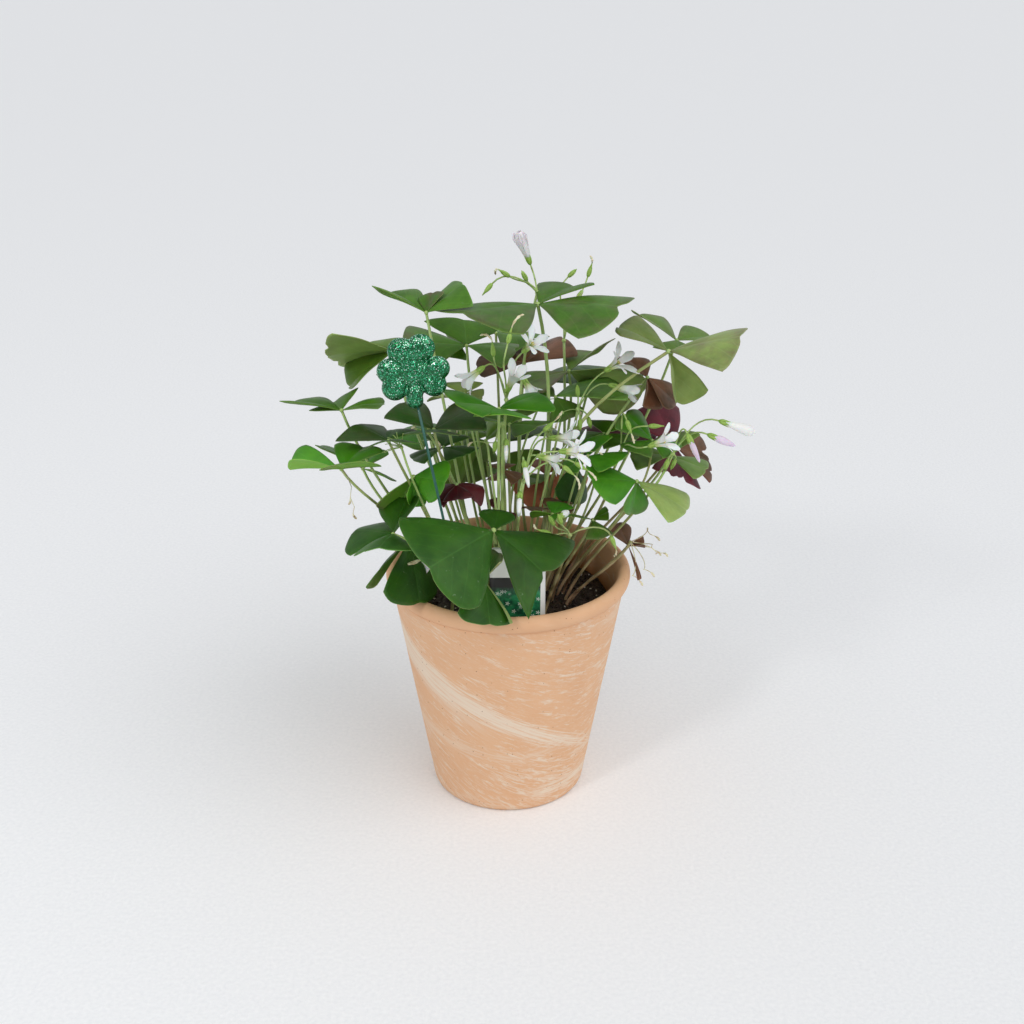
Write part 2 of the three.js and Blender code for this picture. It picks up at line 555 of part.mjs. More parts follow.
// ---- plant label ----
// A flat plastic card with a pointed foot, pushed into the soil at the front.
const [labelX, labelY] = LABEL_CENTRE;
const labelHalf = LABEL_WIDTH / 2;
const [pointHalf, pointHeight] = LABEL_POINT;
const labelShape = new THREE.Shape([
  [-labelHalf, LABEL_TOP], [-labelHalf, LABEL_BOTTOM + LABEL_SHOULDER],
  [-pointHalf, LABEL_BOTTOM + pointHeight], [0, LABEL_BOTTOM], [pointHalf, LABEL_BOTTOM + pointHeight],
  [labelHalf, LABEL_BOTTOM + LABEL_SHOULDER], [labelHalf, LABEL_TOP],
].map(([x, z]) => new THREE.Vector2(x, z)));

/** The card's solid, grown by a margin on every side. */
function labelSolid(margin) {
  const depth = LABEL_THICKNESS + 2 * margin;
  const card = new THREE.ExtrudeGeometry(labelShape, { depth, bevelEnabled: false });
  const widen = (labelHalf + margin) / labelHalf;
  card.scale(widen, 1, 1).rotateX(Math.PI / 2);
  card.translate(labelX, labelY + LABEL_THICKNESS / 2 + margin, -margin);
  return solidFromGeometry(card);
}

addPiece('plant_label', geometryFrom(labelSolid(0)), 'card');

// ---- glittered shamrock pick ----
// A puffy foam shamrock of three hearts and a stub, coated in glitter, pushed onto a thin wire.
const FOAM_HALF = 4.6; // half of the foam's thickness
const SOCKET_LENGTH = 30; // the wire's way into the foam is cut from below its mouth
const WIRE_SIDES = 6;
const LOBES = [
  [-4.6, 11.2, 7.4], [5.4, 13.4, 7.4], [-12.2, 0.6, 7.2], [-10.4, -9, 7.4],
  [13.2, 4, 7], [11.8, -7, 7.2], [0.4, 1.2, 10], [0.8, -12.6, 5.4],
]; // x, z and radius of each lobe, from the middle

const lobes = LOBES.map(([x, z, radius]) => {
  const ball = new THREE.SphereGeometry(radius, 9, 5);
  ball.scale(1, FOAM_HALF / Math.max(radius, FOAM_HALF), 1);
  ball.translate(PICK_CENTRE[0] + x, PICK_CENTRE[1], PICK_CENTRE[2] + z);
  return solidFromGeometry(ball);
});
const wireTop = new THREE.Vector3(...PICK_WIRE_TOP);
const wireFoot = new THREE.Vector3(...PICK_WIRE_FOOT);
const wireLine = wireFoot.clone().sub(wireTop).normalize();
const socketPath = [-GAP, SOCKET_LENGTH].map((reach) => wireTop.clone().addScaledVector(wireLine, reach));
const socket = stemSolid(socketPath, [PICK_WIRE_RADIUS + GAP, PICK_WIRE_RADIUS + GAP], WIRE_SIDES);
addPiece('pick_shamrock', geometryFrom(fuse(lobes).subtract(socket)), 'glitter');

const wireKnee = wireFoot.clone();
wireKnee.z = soilHeight(wireFoot.x, wireFoot.y) + 1;
const wirePath = [wireFoot, wireKnee, wireTop];
const wire = stemSolid(wirePath, wirePath.map(() => PICK_WIRE_RADIUS), WIRE_SIDES);
addPiece('pick_wire', geometryFrom(wire), 'wire');
stemFeet.push([wireFoot.x, wireFoot.y, PICK_WIRE_RADIUS]);

// ---- potting soil ----
// It fills the pot to a low crown, with a plain hole for each stem and a slot for the label.
const SOIL_SIDES = POT_SIDES / 2;
const HOLE_PLAY = 0.7; // a hole's corner lies this far outside the stem
const soilRadius = outerRadius(SOIL_EDGE_HEIGHT) - POT_WALL - GAP;
const soilProfile = [
  [0, FLOOR_THICKNESS + GAP], [FOOT_RADIUS - POT_WALL - 3 - GAP, FLOOR_THICKNESS + GAP],
  [FOOT_RADIUS - POT_WALL - GAP, FLOOR_THICKNESS + 3], [soilRadius, SOIL_EDGE_HEIGHT],
  [soilRadius / 2, soilHeight(soilRadius / 2, 0)], [0, SOIL_CROWN_HEIGHT],
].map(([radius, height]) => new THREE.Vector2(radius, height));
let soil = solidFromGeometry(new THREE.LatheGeometry(soilProfile, SOIL_SIDES).rotateX(Math.PI / 2));
for (const [x, y, radius] of stemFeet) {
  const foot = soilHeight(x, y) - STEM_DEPTH - GAP;
  const hole = stemSolid(
    [new THREE.Vector3(x, y, foot), new THREE.Vector3(x, y, foot + 2 * STEM_DEPTH)],
    [radius + HOLE_PLAY, radius + HOLE_PLAY],
    STEM_SIDES,
  );
  soil = soil.subtract(hole);
}
soil = soil.subtract(labelSolid(GAP));
addPiece('potting_soil', geometryFrom(soil), 'soil');

export default plant;
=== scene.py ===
import math
import random

import bmesh
import bpy
from mathutils import Matrix, Vector, noise
from mathutils.geometry import interpolate_bezier


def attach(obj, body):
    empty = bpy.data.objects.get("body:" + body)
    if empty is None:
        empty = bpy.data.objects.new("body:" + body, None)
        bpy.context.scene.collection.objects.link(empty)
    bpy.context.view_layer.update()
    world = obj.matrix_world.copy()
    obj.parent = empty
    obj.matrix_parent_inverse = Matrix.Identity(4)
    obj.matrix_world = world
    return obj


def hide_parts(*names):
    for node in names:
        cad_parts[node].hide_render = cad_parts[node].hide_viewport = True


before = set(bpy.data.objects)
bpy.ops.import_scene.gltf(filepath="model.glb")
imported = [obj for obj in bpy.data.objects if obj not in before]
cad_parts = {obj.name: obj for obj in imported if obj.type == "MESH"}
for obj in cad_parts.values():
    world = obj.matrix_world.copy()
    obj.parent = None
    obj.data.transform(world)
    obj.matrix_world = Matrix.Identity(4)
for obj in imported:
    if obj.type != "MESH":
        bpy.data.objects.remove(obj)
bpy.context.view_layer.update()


# ---- table, daylight and camera ----
# The plant stands on a large, pale, matt table top in soft daylight from large windows, seen from
# a little above its leaves. None of this belongs to the part.
MM = 0.001


def linear(colour):
    """An sRGB hex colour as the linear red, green, blue and alpha that shaders take."""
    shares = [int(colour[k:k + 2], 16) / 255 for k in (1, 3, 5)]
    return [v / 12.92 if v <= 0.04045 else ((v + 0.055) / 1.055) ** 2.4 for v in shares] + [1]


def plug(node, inputs):
    """Gives a node's sockets their values. A socket or a node as the value makes a link from it, and a
    hex colour is turned to linear."""
    for socket, value in inputs.items():
        if isinstance(value, bpy.types.Node):
            value = next(output for output in value.outputs if output.enabled)
        if isinstance(value, bpy.types.NodeSocket):
            node.id_data.links.new(value, node.inputs[socket])
        else:
            node.inputs[socket].default_value = linear(value) if isinstance(value, str) else value
    return node


def surface(name, sockets):
    """A new material, the function that adds a node to it, and its shader, on which everything is set
    that is the same all over."""
    material = bpy.data.materials.new(name)
    material.use_nodes = True

    def add(kind, inputs=None, **settings):
        node = material.node_tree.nodes.new(f'ShaderNode{kind}')
        for setting, value in settings.items():
            setattr(node, setting, value)
        return plug(node, inputs or {})

    return material, add, plug(material.node_tree.nodes['Principled BSDF'], sockets)


def mottled(name, sockets, grain, detail, colours, relief=None):
    """A finish that wanders between two colours over grains of a size in millimetres. Its relief, where
    it has one, is a strength and a depth in millimetres."""
    finish, add, shader = surface(name, sockets)
    where = add('TexCoord').outputs['Object']
    grains = add('TexNoise', {'Vector': where, 'Scale': 1 / (grain * MM), 'Detail': detail})
    shade = add('Mix', {0: grains, 6: colours[0], 7: colours[1]}, data_type='RGBA')
    plug(shader, {'Base Color': shade})
    if relief:
        raised = add('Bump', {'Height': grains, 'Strength': relief[0], 'Distance': relief[1] * MM})
        plug(shader, {'Normal': raised})
    return finish


table_mesh = bmesh.new()
bmesh.ops.create_grid(table_mesh, x_segments=2, y_segments=2, size=60)
table_top = bpy.data.objects.new('table_top', bpy.data.meshes.new('table_top'))
table_mesh.to_mesh(table_top.data)
table_mesh.free()
bpy.context.scene.collection.objects.link(table_top)

# Woven off-white cloth: matt, with a faint fleck in its shade every 2.4 mm.
cloth = mottled('off_white_cloth', {'Roughness': 0.9, 'Specular IOR Level': 0.2}, 1000 / 420, 3,
                ('#EDEEF0', '#FFFFFF'), (0.5, 0.5))
table_top.data.materials.append(cloth)

# Soft daylight from all round, a little stronger from the front right, and one lamp whose small
# bright face gives waxy and glittered things their glints.
daylight = bpy.data.objects.new('daylight', bpy.data.lights.new('daylight', 'SUN'))
daylight.data.energy = 0.9
daylight.data.angle = math.radians(60)
daylight.rotation_euler = Vector((-0.75, 0.6, -1)).to_track_quat('-Z', 'Y').to_euler()
lamp = bpy.data.objects.new('lamp', bpy.data.lights.new('lamp', 'AREA'))
lamp.data.size = 0.2
lamp.data.energy = 3.6
lamp.location = (-0.7, -0.95, 1.15)
lamp.rotation_euler = (Vector((0, 0, 0.25)) - lamp.location).to_track_quat('-Z', 'Y').to_euler()
for light in (daylight, lamp):
    bpy.context.scene.collection.objects.link(light)

room = bpy.data.worlds.new('pale_room')
room.use_nodes = True
room.node_tree.nodes['Background'].inputs['Color'].default_value = linear('#F0F2F5')
room.node_tree.nodes['Background'].inputs['Strength'].default_value = 0.69
bpy.context.scene.world = room
bpy.context.scene.view_settings.view_transform = 'Standard'

# The camera looks down at the plant by 23.9 degrees, from a little under a metre away.
camera = bpy.data.objects.new('camera', bpy.data.cameras.new('camera'))
camera.data.lens = 50
camera.location = (2.3 * MM, -785.8 * MM, 531.9 * MM)
camera.rotation_euler = (math.radians(90 - 23.9), 0, 0)
bpy.context.scene.collection.objects.link(camera)
bpy.context.scene.camera = camera


# ---- clay pot ----
# A thrown pot of two clays that were kneaded together, so that cream streaks wind round the orange
# body. It has a flaring wall, a turned line under a rolled lip, and three drain holes in its floor.
POT_WALL = 6.4
FOOT_RADIUS, RIM_RADIUS = 48.4, 71.5  # of the flaring wall's outside, at its foot and under the lip
FOOT_HEIGHT, WALL_HEIGHT = 3, 136
POT_STEPS = 64
DRAIN_RADIUS = 5
DRAIN_CIRCLE = 26
DRAIN_COUNT = 3


def wall_radius(height):
    """Outside radius of the pot's wall at a height, both in millimetres."""
    return FOOT_RADIUS + (RIM_RADIUS - FOOT_RADIUS) * (height - FOOT_HEIGHT) / WALL_HEIGHT


def piece(name, bm, materials, slot, *nodes):
    """Makes a mesh an object of the plant, which stands for its CAD nodes."""
    mesh = bpy.data.meshes.new(name)
    bmesh.ops.recalc_face_normals(bm, faces=bm.faces)
    for face in bm.faces:
        face.smooth = True
    bm.to_mesh(mesh)
    bm.free()
    for material in materials:
        mesh.materials.append(material)
    made = bpy.data.objects.new(name, mesh)
    bpy.context.scene.collection.objects.link(made)
    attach(made, 'root')
    if nodes:
        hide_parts(*nodes)
    return made


def turned(profile, steps):
    """A closed body turned round the upright axis from a line of (radius, height) in millimetres."""
    bm = bmesh.new()
    points = [bm.verts.new((radius * MM, 0, height * MM)) for radius, height in profile]
    line = [bm.edges.new(pair) for pair in zip(points, points[1:])]
    bmesh.ops.spin(bm, geom=points + line, cent=(0, 0, 0), axis=(0, 0, 1), angle=2 * math.pi,
                   steps=steps, use_merge=True)
    bmesh.ops.remove_doubles(bm, verts=bm.verts, dist=0.01 * MM)
    return bm


underside = [(0, 0), (8, 0), (16, 0), (21, 0), (26, 0), (31, 0), (36, 0), (44, 0), (46.8, 0.2), (48, 1.2)]
outside = [(wall_radius(height), height) for height in (3.4, 14, 30, 50, 70, 90, 110, 126, 135)]
turned_line = [(71.4, 137.7), (71.45, 138.3), (71.05, 138.9), (71.5, 139.4)]
lip = [(72.9, 139.9), (74.1, 141.2), (74.9, 143.2), (75.1, 145.4), (74.6, 147.4), (73.3, 149),
       (71.7, 149.7), (70.1, 149.5), (68.9, 148.6), (68.1, 147), (67.6, 144.8)]
inside = [(66.9, 142), (66.1, 139)] + [
    (wall_radius(height) - POT_WALL, height) for height in (132, 125, 105, 80, 55, 30, 16)]
floor_top = [(42.8, 11), (41, 8.6), (38, 8), (31, 8), (26, 8), (21, 8), (16, 8), (8, 8), (0, 8)]
pot = turned(underside + outside + turned_line + lip + inside + floor_top, POT_STEPS)

for k in range(DRAIN_COUNT):
    middle = Matrix.Rotation(2 * math.pi * k / DRAIN_COUNT, 3, 'Z') @ Vector((DRAIN_CIRCLE * MM, 0, 0))
    cut = []
    for face in pot.faces:
        centre = face.calc_center_median()
        if centre.z < 9 * MM and (centre.xy - middle.xy).length < 1.05 * DRAIN_RADIUS * MM:
            cut.append(face)
    bmesh.ops.delete(pot, geom=cut, context='FACES')
    ends = [edge for edge in pot.edges if edge.is_boundary]
    for vert in {vert for edge in ends for vert in edge.verts}:
        out = (vert.co.xy - middle.xy).normalized() * DRAIN_RADIUS * MM
        vert.co.xy = middle.xy + out
    bmesh.ops.bridge_loops(pot, edges=ends)

# Marbled terracotta: unglazed and chalky, orange with cream streaks as fine as brush strokes. The
# inside is browner, darkest down by the soil: partly damp clay that drew up water from the soil, and
# partly painted shade inside the pot. Pattern sizes are in millimetres.
terracotta, add, shader = surface('marbled_terracotta', {'Roughness': 0.72, 'Specular IOR Level': 0.35})
where = add('TexCoord').outputs['Object']
spot = add('VectorMath', {0: where, 'Scale': 1 / MM}, operation='SCALE')
x, y, height = add('SeparateXYZ', {0: spot}).outputs
front = add('Math', {0: y, 1: -1}, operation='MULTIPLY')
turn = add('Math', {0: x, 1: front}, operation='ARCTAN2')
# The clay was twisted as it rose, so its streaks fall to the right in front and level out beyond.
flat = add('VectorMath', {0: spot, 1: (1, 1, 0)}, operation='MULTIPLY')
round_way = add('VectorMath', {0: flat}, operation='NORMALIZE')
ahead = add('SeparateXYZ', {0: round_way}).outputs['X']
square = add('Math', {0: ahead, 1: ahead}, operation='MULTIPLY')
level_out = add('Math', {0: square, 1: -11, 2: 5}, operation='MULTIPLY_ADD')
twist = add('Math', {0: ahead, 1: 28, 2: level_out}, operation='MULTIPLY_ADD')
flowed = add('Math', {0: height, 1: twist}, operation='ADD')
stream = add('CombineXYZ', {'X': x, 'Y': y, 'Z': flowed})
# Brush strokes of about 9 mm by 2, and finer ones of 4 mm by half of one, stretched along the stream.
drawn = add('Mapping', {'Vector': stream, 'Scale': (0.11, 0.11, 0.6)})
strokes = add('TexNoise', {'Vector': drawn, 'Scale': 1, 'Detail': 7, 'Roughness': 0.72, 'Distortion': 0.7})
hairs = add('TexNoise', {'Vector': drawn, 'Scale': 2.6, 'Detail': 4, 'Roughness': 0.6, 'Distortion': 0.3})
patches = add('TexNoise', {'Vector': drawn, 'Scale': 0.3, 'Detail': 2})
level = add('MapRange', {'Value': patches, 'From Min': 0.35, 'From Max': 0.65, 'To Min': 0.58, 'To Max': 0.48})
near_foot = add('MapRange', {'Value': height, 'From Min': 60, 'From Max': 5, 'To Max': 0.055})
to_right = add('Math', {0: ahead, 1: 0.022, 2: near_foot}, operation='MULTIPLY_ADD')
lowered = add('Math', {0: level, 1: to_right}, operation='SUBTRACT')
above = add('Math', {0: strokes, 1: lowered}, operation='SUBTRACT')
stroke = add('MapRange', {'Value': above, 'From Max': 0.14, 'To Max': 0.85})
hair = add('MapRange', {'Value': hairs, 'From Min': 0.5, 'From Max': 0.72, 'To Max': 0.3})
marbling = add('Math', {0: stroke, 1: hair}, operation='ADD')
# Broad bands: height at the front, rise per radian of turn, half width, widening per radian, strength,
# and the turn where it starts and ends.
BANDS = [
    (70.8, -30.4, 7.0, -4.8, 1.0, -1.8, 1.9), (43, -9, 3.6, -0.6, 0.5, -1.7, 0.35),
    (43, 10, 2.4, 0, 0.5, -0.1, 0.8), (14, 0.5, 3.8, 0, 1.0, 0.1, 1.9),
    (57, -35, 5.5, -1, 0.5, -1.9, -0.1), (4, -2, 1.6, 0, 0.45, -0.9, 0.2),
    (133, -3, 4.6, 0, 0.5, 0.75, 1.8), (134, 2, 1.2, 0, 0.5, -1.3, -0.5),
]
for middle, climb, half, widening, strength, start, end in BANDS:
    fallen = add('Math', {0: turn, 1: -climb, 2: -middle}, operation='MULTIPLY_ADD')
    off = add('Math', {0: height, 1: fallen}, operation='ADD')
    along = add('Math', {0: turn, 1: 2.6}, operation='MULTIPLY')
    across = add('Math', {0: off, 1: 0.8}, operation='MULTIPLY')
    flow = add('CombineXYZ', {'X': along, 'Y': across, 'Z': middle})
    fray = add('TexNoise', {'Vector': flow, 'Scale': 1, 'Detail': 6, 'Roughness': 0.7, 'Distortion': 0.5})
    frayed = add('Math', {0: fray, 1: 34, 2: -17}, operation='MULTIPLY_ADD')
    wide = add('Math', {0: turn, 1: widening, 2: half}, operation='MULTIPLY_ADD')
    away = add('Math', {0: off}, operation='ABSOLUTE')
    rest = add('Math', {0: away, 1: frayed}, operation='ADD')
    depth = add('Math', {0: wide, 1: rest}, operation='SUBTRACT')
    band = add('MapRange', {'Value': depth, 'From Min': -3, 'From Max': 5, 'To Max': strength},
               interpolation_type='SMOOTHSTEP')
    comes = add('MapRange', {'Value': turn, 'From Min': start, 'From Max': start + 0.35})
    goes = add('MapRange', {'Value': turn, 'From Min': end, 'From Max': end - 0.35})
    there = add('Math', {0: comes, 1: goes}, operation='MULTIPLY')
    # Threads of orange clay run along inside each band.
    threads = add('MapRange', {'Value': fray, 'From Min': 0.46, 'From Max': 0.66, 'To Min': 1, 'To Max': 0.45})
    threaded = add('Math', {0: there, 1: threads}, operation='MULTIPLY')
    shown = add('Math', {0: band, 1: threaded}, operation='MULTIPLY')
    marbling = add('Math', {0: marbling, 1: shown}, operation='MAXIMUM')
# The lip and the inside were wiped smooth, so they show hardly any cream.
wiped = add('MapRange', {'Value': height, 'From Min': 138.4, 'From Max': 139.4, 'To Min': 0.85, 'To Max': 0.08})
cream_share = add('Math', {0: marbling, 1: wiped}, operation='MULTIPLY')
clouds = add('TexNoise', {'Vector': spot, 'Scale': 0.05, 'Detail': 4})
# Inside is where the distance from the axis falls well below the outside of the wall.
radius = add('VectorMath', {0: flat}, operation='LENGTH')
outer = add('Math', {0: height, 1: 0.17, 2: wall_radius(0) - 2.5}, operation='MULTIPLY_ADD')
inward = add('Math', {0: outer, 1: radius}, operation='SUBTRACT')
inner = add('MapRange', {'Value': inward, 'From Max': 3})
# Damp and painted shade: the inside darkens from under the lip down to the soil.
deep_damp_and_shade = add('MapRange', {'Value': height, 'From Min': 146, 'From Max': 126})
damp_and_shade = add('Math', {0: inner, 1: deep_damp_and_shade}, operation='MULTIPLY')
# Sparse dark specks of grog, under a millimetre across, in every fourth cell of 3 mm.
grog = add('TexVoronoi', {'Vector': spot, 'Scale': 0.33})
dice = add('SeparateXYZ', {0: grog.outputs['Color']}).outputs['X']
chosen = add('Math', {0: dice, 1: 0.76}, operation='GREATER_THAN')
grain = add('MapRange', {'Value': grog.outputs['Distance'], 'From Min': 0.08, 'From Max': 0.14,
                         'To Min': 0.8, 'To Max': 0})
speck = add('Math', {0: grain, 1: chosen}, operation='MULTIPLY')
# Each colour lies over the ones before: orange clay, its paler clouds, cream, damp brown with painted shade
# inside, specks.
clay = '#E9BB93'
for share, over in (clouds, '#DFAC83'), (cream_share, '#ECDCC8'), (damp_and_shade, '#96602F'), (speck, '#8A5334'):
    clay = add('Mix', {0: share, 6: clay, 7: over}, data_type='RGBA')
pores = add('TexNoise', {'Vector': spot, 'Scale': 1.6, 'Detail': 6})
skin = add('Bump', {'Height': pores, 'Strength': 0.25, 'Distance': 0.15 * MM})
plug(shader, {'Base Color': clay, 'Normal': skin})

clay_pot = piece('clay_pot', pot, [terracotta], 'terracotta', 'pot')
rounding = clay_pot.modifiers.new('rounding', 'SUBSURF')
rounding.levels = rounding.render_levels = 1


# ---- potting soil ----
# Dark peat that fills the pot to a low crown: crumbs and bits of bark lie on it, among white specks
# of perlite.
SOIL_RADIUS = wall_radius(125) - POT_WALL - 0.3
SOIL_TOP, CROWN, CROWN_RADIUS = 128, 3, 68.4  # height in the middle, and how far it falls over a radius
CRUMB_COUNT = 620
PERLITE_EVERY = 11  # every which crumb is a bead of perlite


def soil_height(x, y):
    """Height of the soil's surface, in millimetres."""
    return SOIL_TOP - CROWN * min(math.hypot(x, y) / CROWN_RADIUS, 1) ** 2


rings = [SOIL_RADIUS * (1 - k / 26) for k in range(27)]
peat_bed = turned([(0, 8.3), (38.7, 8.3), (41.7, 11), (SOIL_RADIUS, 122)]
                  + [(ring, soil_height(ring, 0)) for ring in rings], 72)
for vert in peat_bed.verts:
    if vert.co.z > 123 * MM:
        lumps = noise.fractal(vert.co / (7 * MM), 1, 2, 4)
        vert.co.z += 1.1 * MM * lumps

luck = random.Random(11)
for k in range(CRUMB_COUNT):
    reach = SOIL_RADIUS * math.sqrt(luck.random()) * 0.985
    heading = luck.uniform(0, 2 * math.pi)
    x, y = reach * math.cos(heading), reach * math.sin(heading)
    size = luck.uniform(0.5, 1.5) * (1.5 if luck.random() < 0.12 else 1)
    white = k % PERLITE_EVERY == 0
    lie = Matrix.Rotation(luck.uniform(0, math.pi), 4, Vector((luck.random(), luck.random(), luck.random())))
    shape = Matrix.Diagonal((luck.uniform(0.7, 1.7), 1, luck.uniform(0.5, 1), 1))
    at = Matrix.Translation(Vector((x, y, soil_height(x, y) + 0.3)) * MM)
    crumb = bmesh.ops.create_icosphere(peat_bed, subdivisions=1, radius=(0.7 if white else size) * MM,
                                       matrix=at @ lie @ shape)['verts']
    for face in {face for vert in crumb for face in vert.link_faces}:
        face.material_index = 1 if white else 0

# Moist peat: nearly black brown, rough, with a few wet glints.
peat, add, shader = surface('moist_peat', {'Specular IOR Level': 0.5})
where = add('TexCoord').outputs['Object']
crumbs = add('TexNoise', {'Vector': where, 'Scale': 420, 'Detail': 6, 'Roughness': 0.7})
dark = add('MapRange', {'Value': crumbs, 'From Min': 0.38, 'From Max': 0.68})
brown = add('Mix', {0: dark, 6: '#17100C', 7: '#4A3426'}, data_type='RGBA')
wet = add('MapRange', {'Value': crumbs, 'From Min': 0.4, 'From Max': 0.6, 'To Min': 0.95, 'To Max': 0.45})
rough = add('Bump', {'Height': crumbs, 'Strength': 0.8, 'Distance': 1.2 * MM})
plug(shader, {'Base Color': brown, 'Roughness': wet, 'Normal': rough})

# Perlite: puffed white glass, chalky and a little soiled.
perlite = mottled('white_perlite', {'Roughness': 0.85}, 1000 / 900, 3, ('#B9AFA4', '#F2EFEA'))
piece('peat_bed', peat_bed, [peat, perlite], 'soil', 'potting_soil')


# ---- leaves ----
# Each leaf is one thin stalk with three heart-shaped leaflets on its tip. The leaflets are soft,
# half a millimetre thick, folded along the midrib and a little cupped, and paler underneath.
BLADE = 0.45  # thickness of a leaflet
HALF_ANGLE = 46  # degrees from a leaflet's midrib to its straight side
DROOP = 0.1  # how far a leaflet's tip hangs, as a share of its length
NOTCH_WIDTH = 0.13  # of the notch in its far edge, as a share of half its width
CREASE = 1.4  # how softly it folds along the midrib, in square millimetres
ROLL = 0.09  # how much of a side one radian of curl takes up
STALK_RADIUS = 1.0
ROOT_SHARE = 0.37  # where a stem leaves the soil, as a share of its tip's distance from the pot's axis
STEM_LEAN = 0.18  # how far from its tip, as a share of its length, a stem starts to lean out
STEM_BEND = 0.36  # how far its two bends lie from its ends, as a share of its height


def thin_stock():
    """An empty mesh for stalks and blades, with the marks that their finishes read."""
    bm = bmesh.new()
    bm.loops.layers.uv.new('blade')
    for mark in ('tone', 'margin', 'mauve'):
        bm.verts.layers.float.new(mark)
    return bm


def slab(bm, columns, rows, place, upper=0, under=1, tone=0.5, mauve=0.0):
    """A thin blade: a grid, drawn out once to give it two faces, whose corners are then placed by
    their share across (-1 to 1), their share along (0 to 1) and their face (0 under, 1 upper)."""
    marks = bm.verts.layers.float
    uv = bm.loops.layers.uv['blade']
    made = bmesh.ops.create_grid(bm, x_segments=columns, y_segments=rows, size=1)['verts']
    sheet = list(dict.fromkeys(face for vert in made for face in vert.link_faces))
    drawn = bmesh.ops.extrude_face_region(bm, geom=sheet)['geom']
    raised = [part for part in drawn if isinstance(part, bmesh.types.BMVert)]
    bmesh.ops.translate(bm, vec=(0, 0, 1), verts=raised)
    corners = made + raised
    faces = {face for vert in corners for face in vert.link_faces}
    for face in faces:
        face.material_index = upper if face.calc_center_median().z > 0.99 else under
    pattern = {}
    for vert in corners:
        across, along = vert.co.x, (vert.co.y + 1) / 2
        vert[marks['tone']] = tone
        vert[marks['mauve']] = mauve
        vert[marks['margin']] = max(abs(across), along)
        vert.co, pattern[vert] = place(across, along, vert.co.z)
    for face in faces:
        for loop in face.loops:
            loop[uv].uv = pattern[loop.vert]


def leaflet(bm, hub, shape, chance, trim, young=False):
    """One leaflet at its hub: heading, rise and roll in degrees, length, fold in degrees, how light it
    is and how much mauve it shows. A fold past 70 degrees rolls it up. Its trim may set how straight
    the far edge is and how deep its notch, how round its two corners are, how far the midrib lies off
    the middle, how far each long side curls up in radians, bites out of the far edge (place across,
    width, depth), and its finish."""
    heading, rise, roll = (math.radians(value) for value in shape[:3])
    length, fold = shape[3], math.radians(shape[4])
    midrib = Vector((math.cos(rise) * math.cos(heading), math.cos(rise) * math.sin(heading), math.sin(rise)))
    across = Matrix.Rotation(roll, 3, midrib) @ Vector((-math.sin(heading), math.cos(heading), 0))
    normal = midrib.cross(across)
    puff = [length * chance.uniform(0.01, 0.05) for _ in range(2)]
    phase = [chance.uniform(0, 2 * math.pi) for _ in range(2)]
    ripple = length * chance.uniform(0.006, 0.014)
    droop = length * chance.uniform(0.0, 0.05)
    half_angle = math.radians(12 if fold > 1.2 else HALF_ANGLE)
    flat, notch, sharp = chance.uniform(0.4, 0.6), chance.uniform(0.02, 0.06), chance.uniform(0.02, 0.06)
    sharp += 0.06 if young else 0
    flat, notch = trim.get('flat', flat), trim.get('notch', notch)
    rounded = trim.get('round', (sharp, sharp))
    skew, curl = trim.get('skew', 0), trim.get('curl', (0, 0))

    def place(u, t, face):
        side = 0 if u < 0 else 1
        straight = math.cos(half_angle) / math.cos(half_angle * u)
        edge = flat * (1 - straight) + notch * math.exp(-(u / NOTCH_WIDTH) ** 2)
        start = 0.9 - 2 * rounded[side]
        corner = rounded[side] * max(0, (abs(u) - start) / (1 - start)) ** 2
        bitten = sum(depth * math.exp(-((u - at) / width) ** 2) for at, width, depth in trim.get('bites', ()))
        reach = length * (0.02 + 0.98 * t) * (1 - (edge + corner + bitten) * t ** 1.5)
        flank = 1 - ROLL * curl[side]
        beyond = max(0, abs(u) - flank)
        inner = math.copysign(min(abs(u), flank), u)
        spread = 0.95 + 0.08 * math.sin(math.pi * t)
        shift = half_angle * skew
        angle = half_angle * inner * spread + shift * (1 - abs(inner))
        along, aside = reach * math.cos(angle), reach * math.sin(angle)
        off = reach * math.sin(angle - shift)
        crease = math.sqrt(off ** 2 + CREASE) - math.sqrt(CREASE)
        height = crease * math.sin(fold) - DROOP * along ** 2 / length
        height += puff[side] * math.sin(math.pi * abs(u)) * math.sin(math.pi * min(1, t * 0.9))
        height += ripple * t ** 3 * math.sin(5 * u + phase[0]) - droop * u * u * t ** 3
        height += 0.5 * ripple * t * math.sin(9 * t + 3 * u + phase[1])
        spot = hub + midrib * along + across * aside * math.cos(fold)
        lift = (face - 0.5) * BLADE
        if beyond:
            turned_up = beyond / ROLL
            radius = reach * half_angle * ROLL
            outward = across * math.cos(angle) * math.copysign(1, u) - midrib * math.sin(abs(angle))
            spot += outward * (radius - lift) * math.sin(turned_up)
            height += radius - (radius - lift) * math.cos(turned_up)
        else:
            height += lift
        spot += normal * height
        share = half_angle * u * spread + shift * (1 - abs(u)) - shift
        return spot * MM, (0.5 + 0.5 * reach * math.sin(share) / length, reach * math.cos(share) / length)

    columns, rows = (24, 14) if length > 26 else (18, 10)
    tone, mauve = shape[5:] or (chance.uniform(0.3, 0.6), chance.uniform(0, 0.6))
    slab(bm, columns, rows, place, upper=trim.get('finish', 0), tone=tone, mauve=mauve)


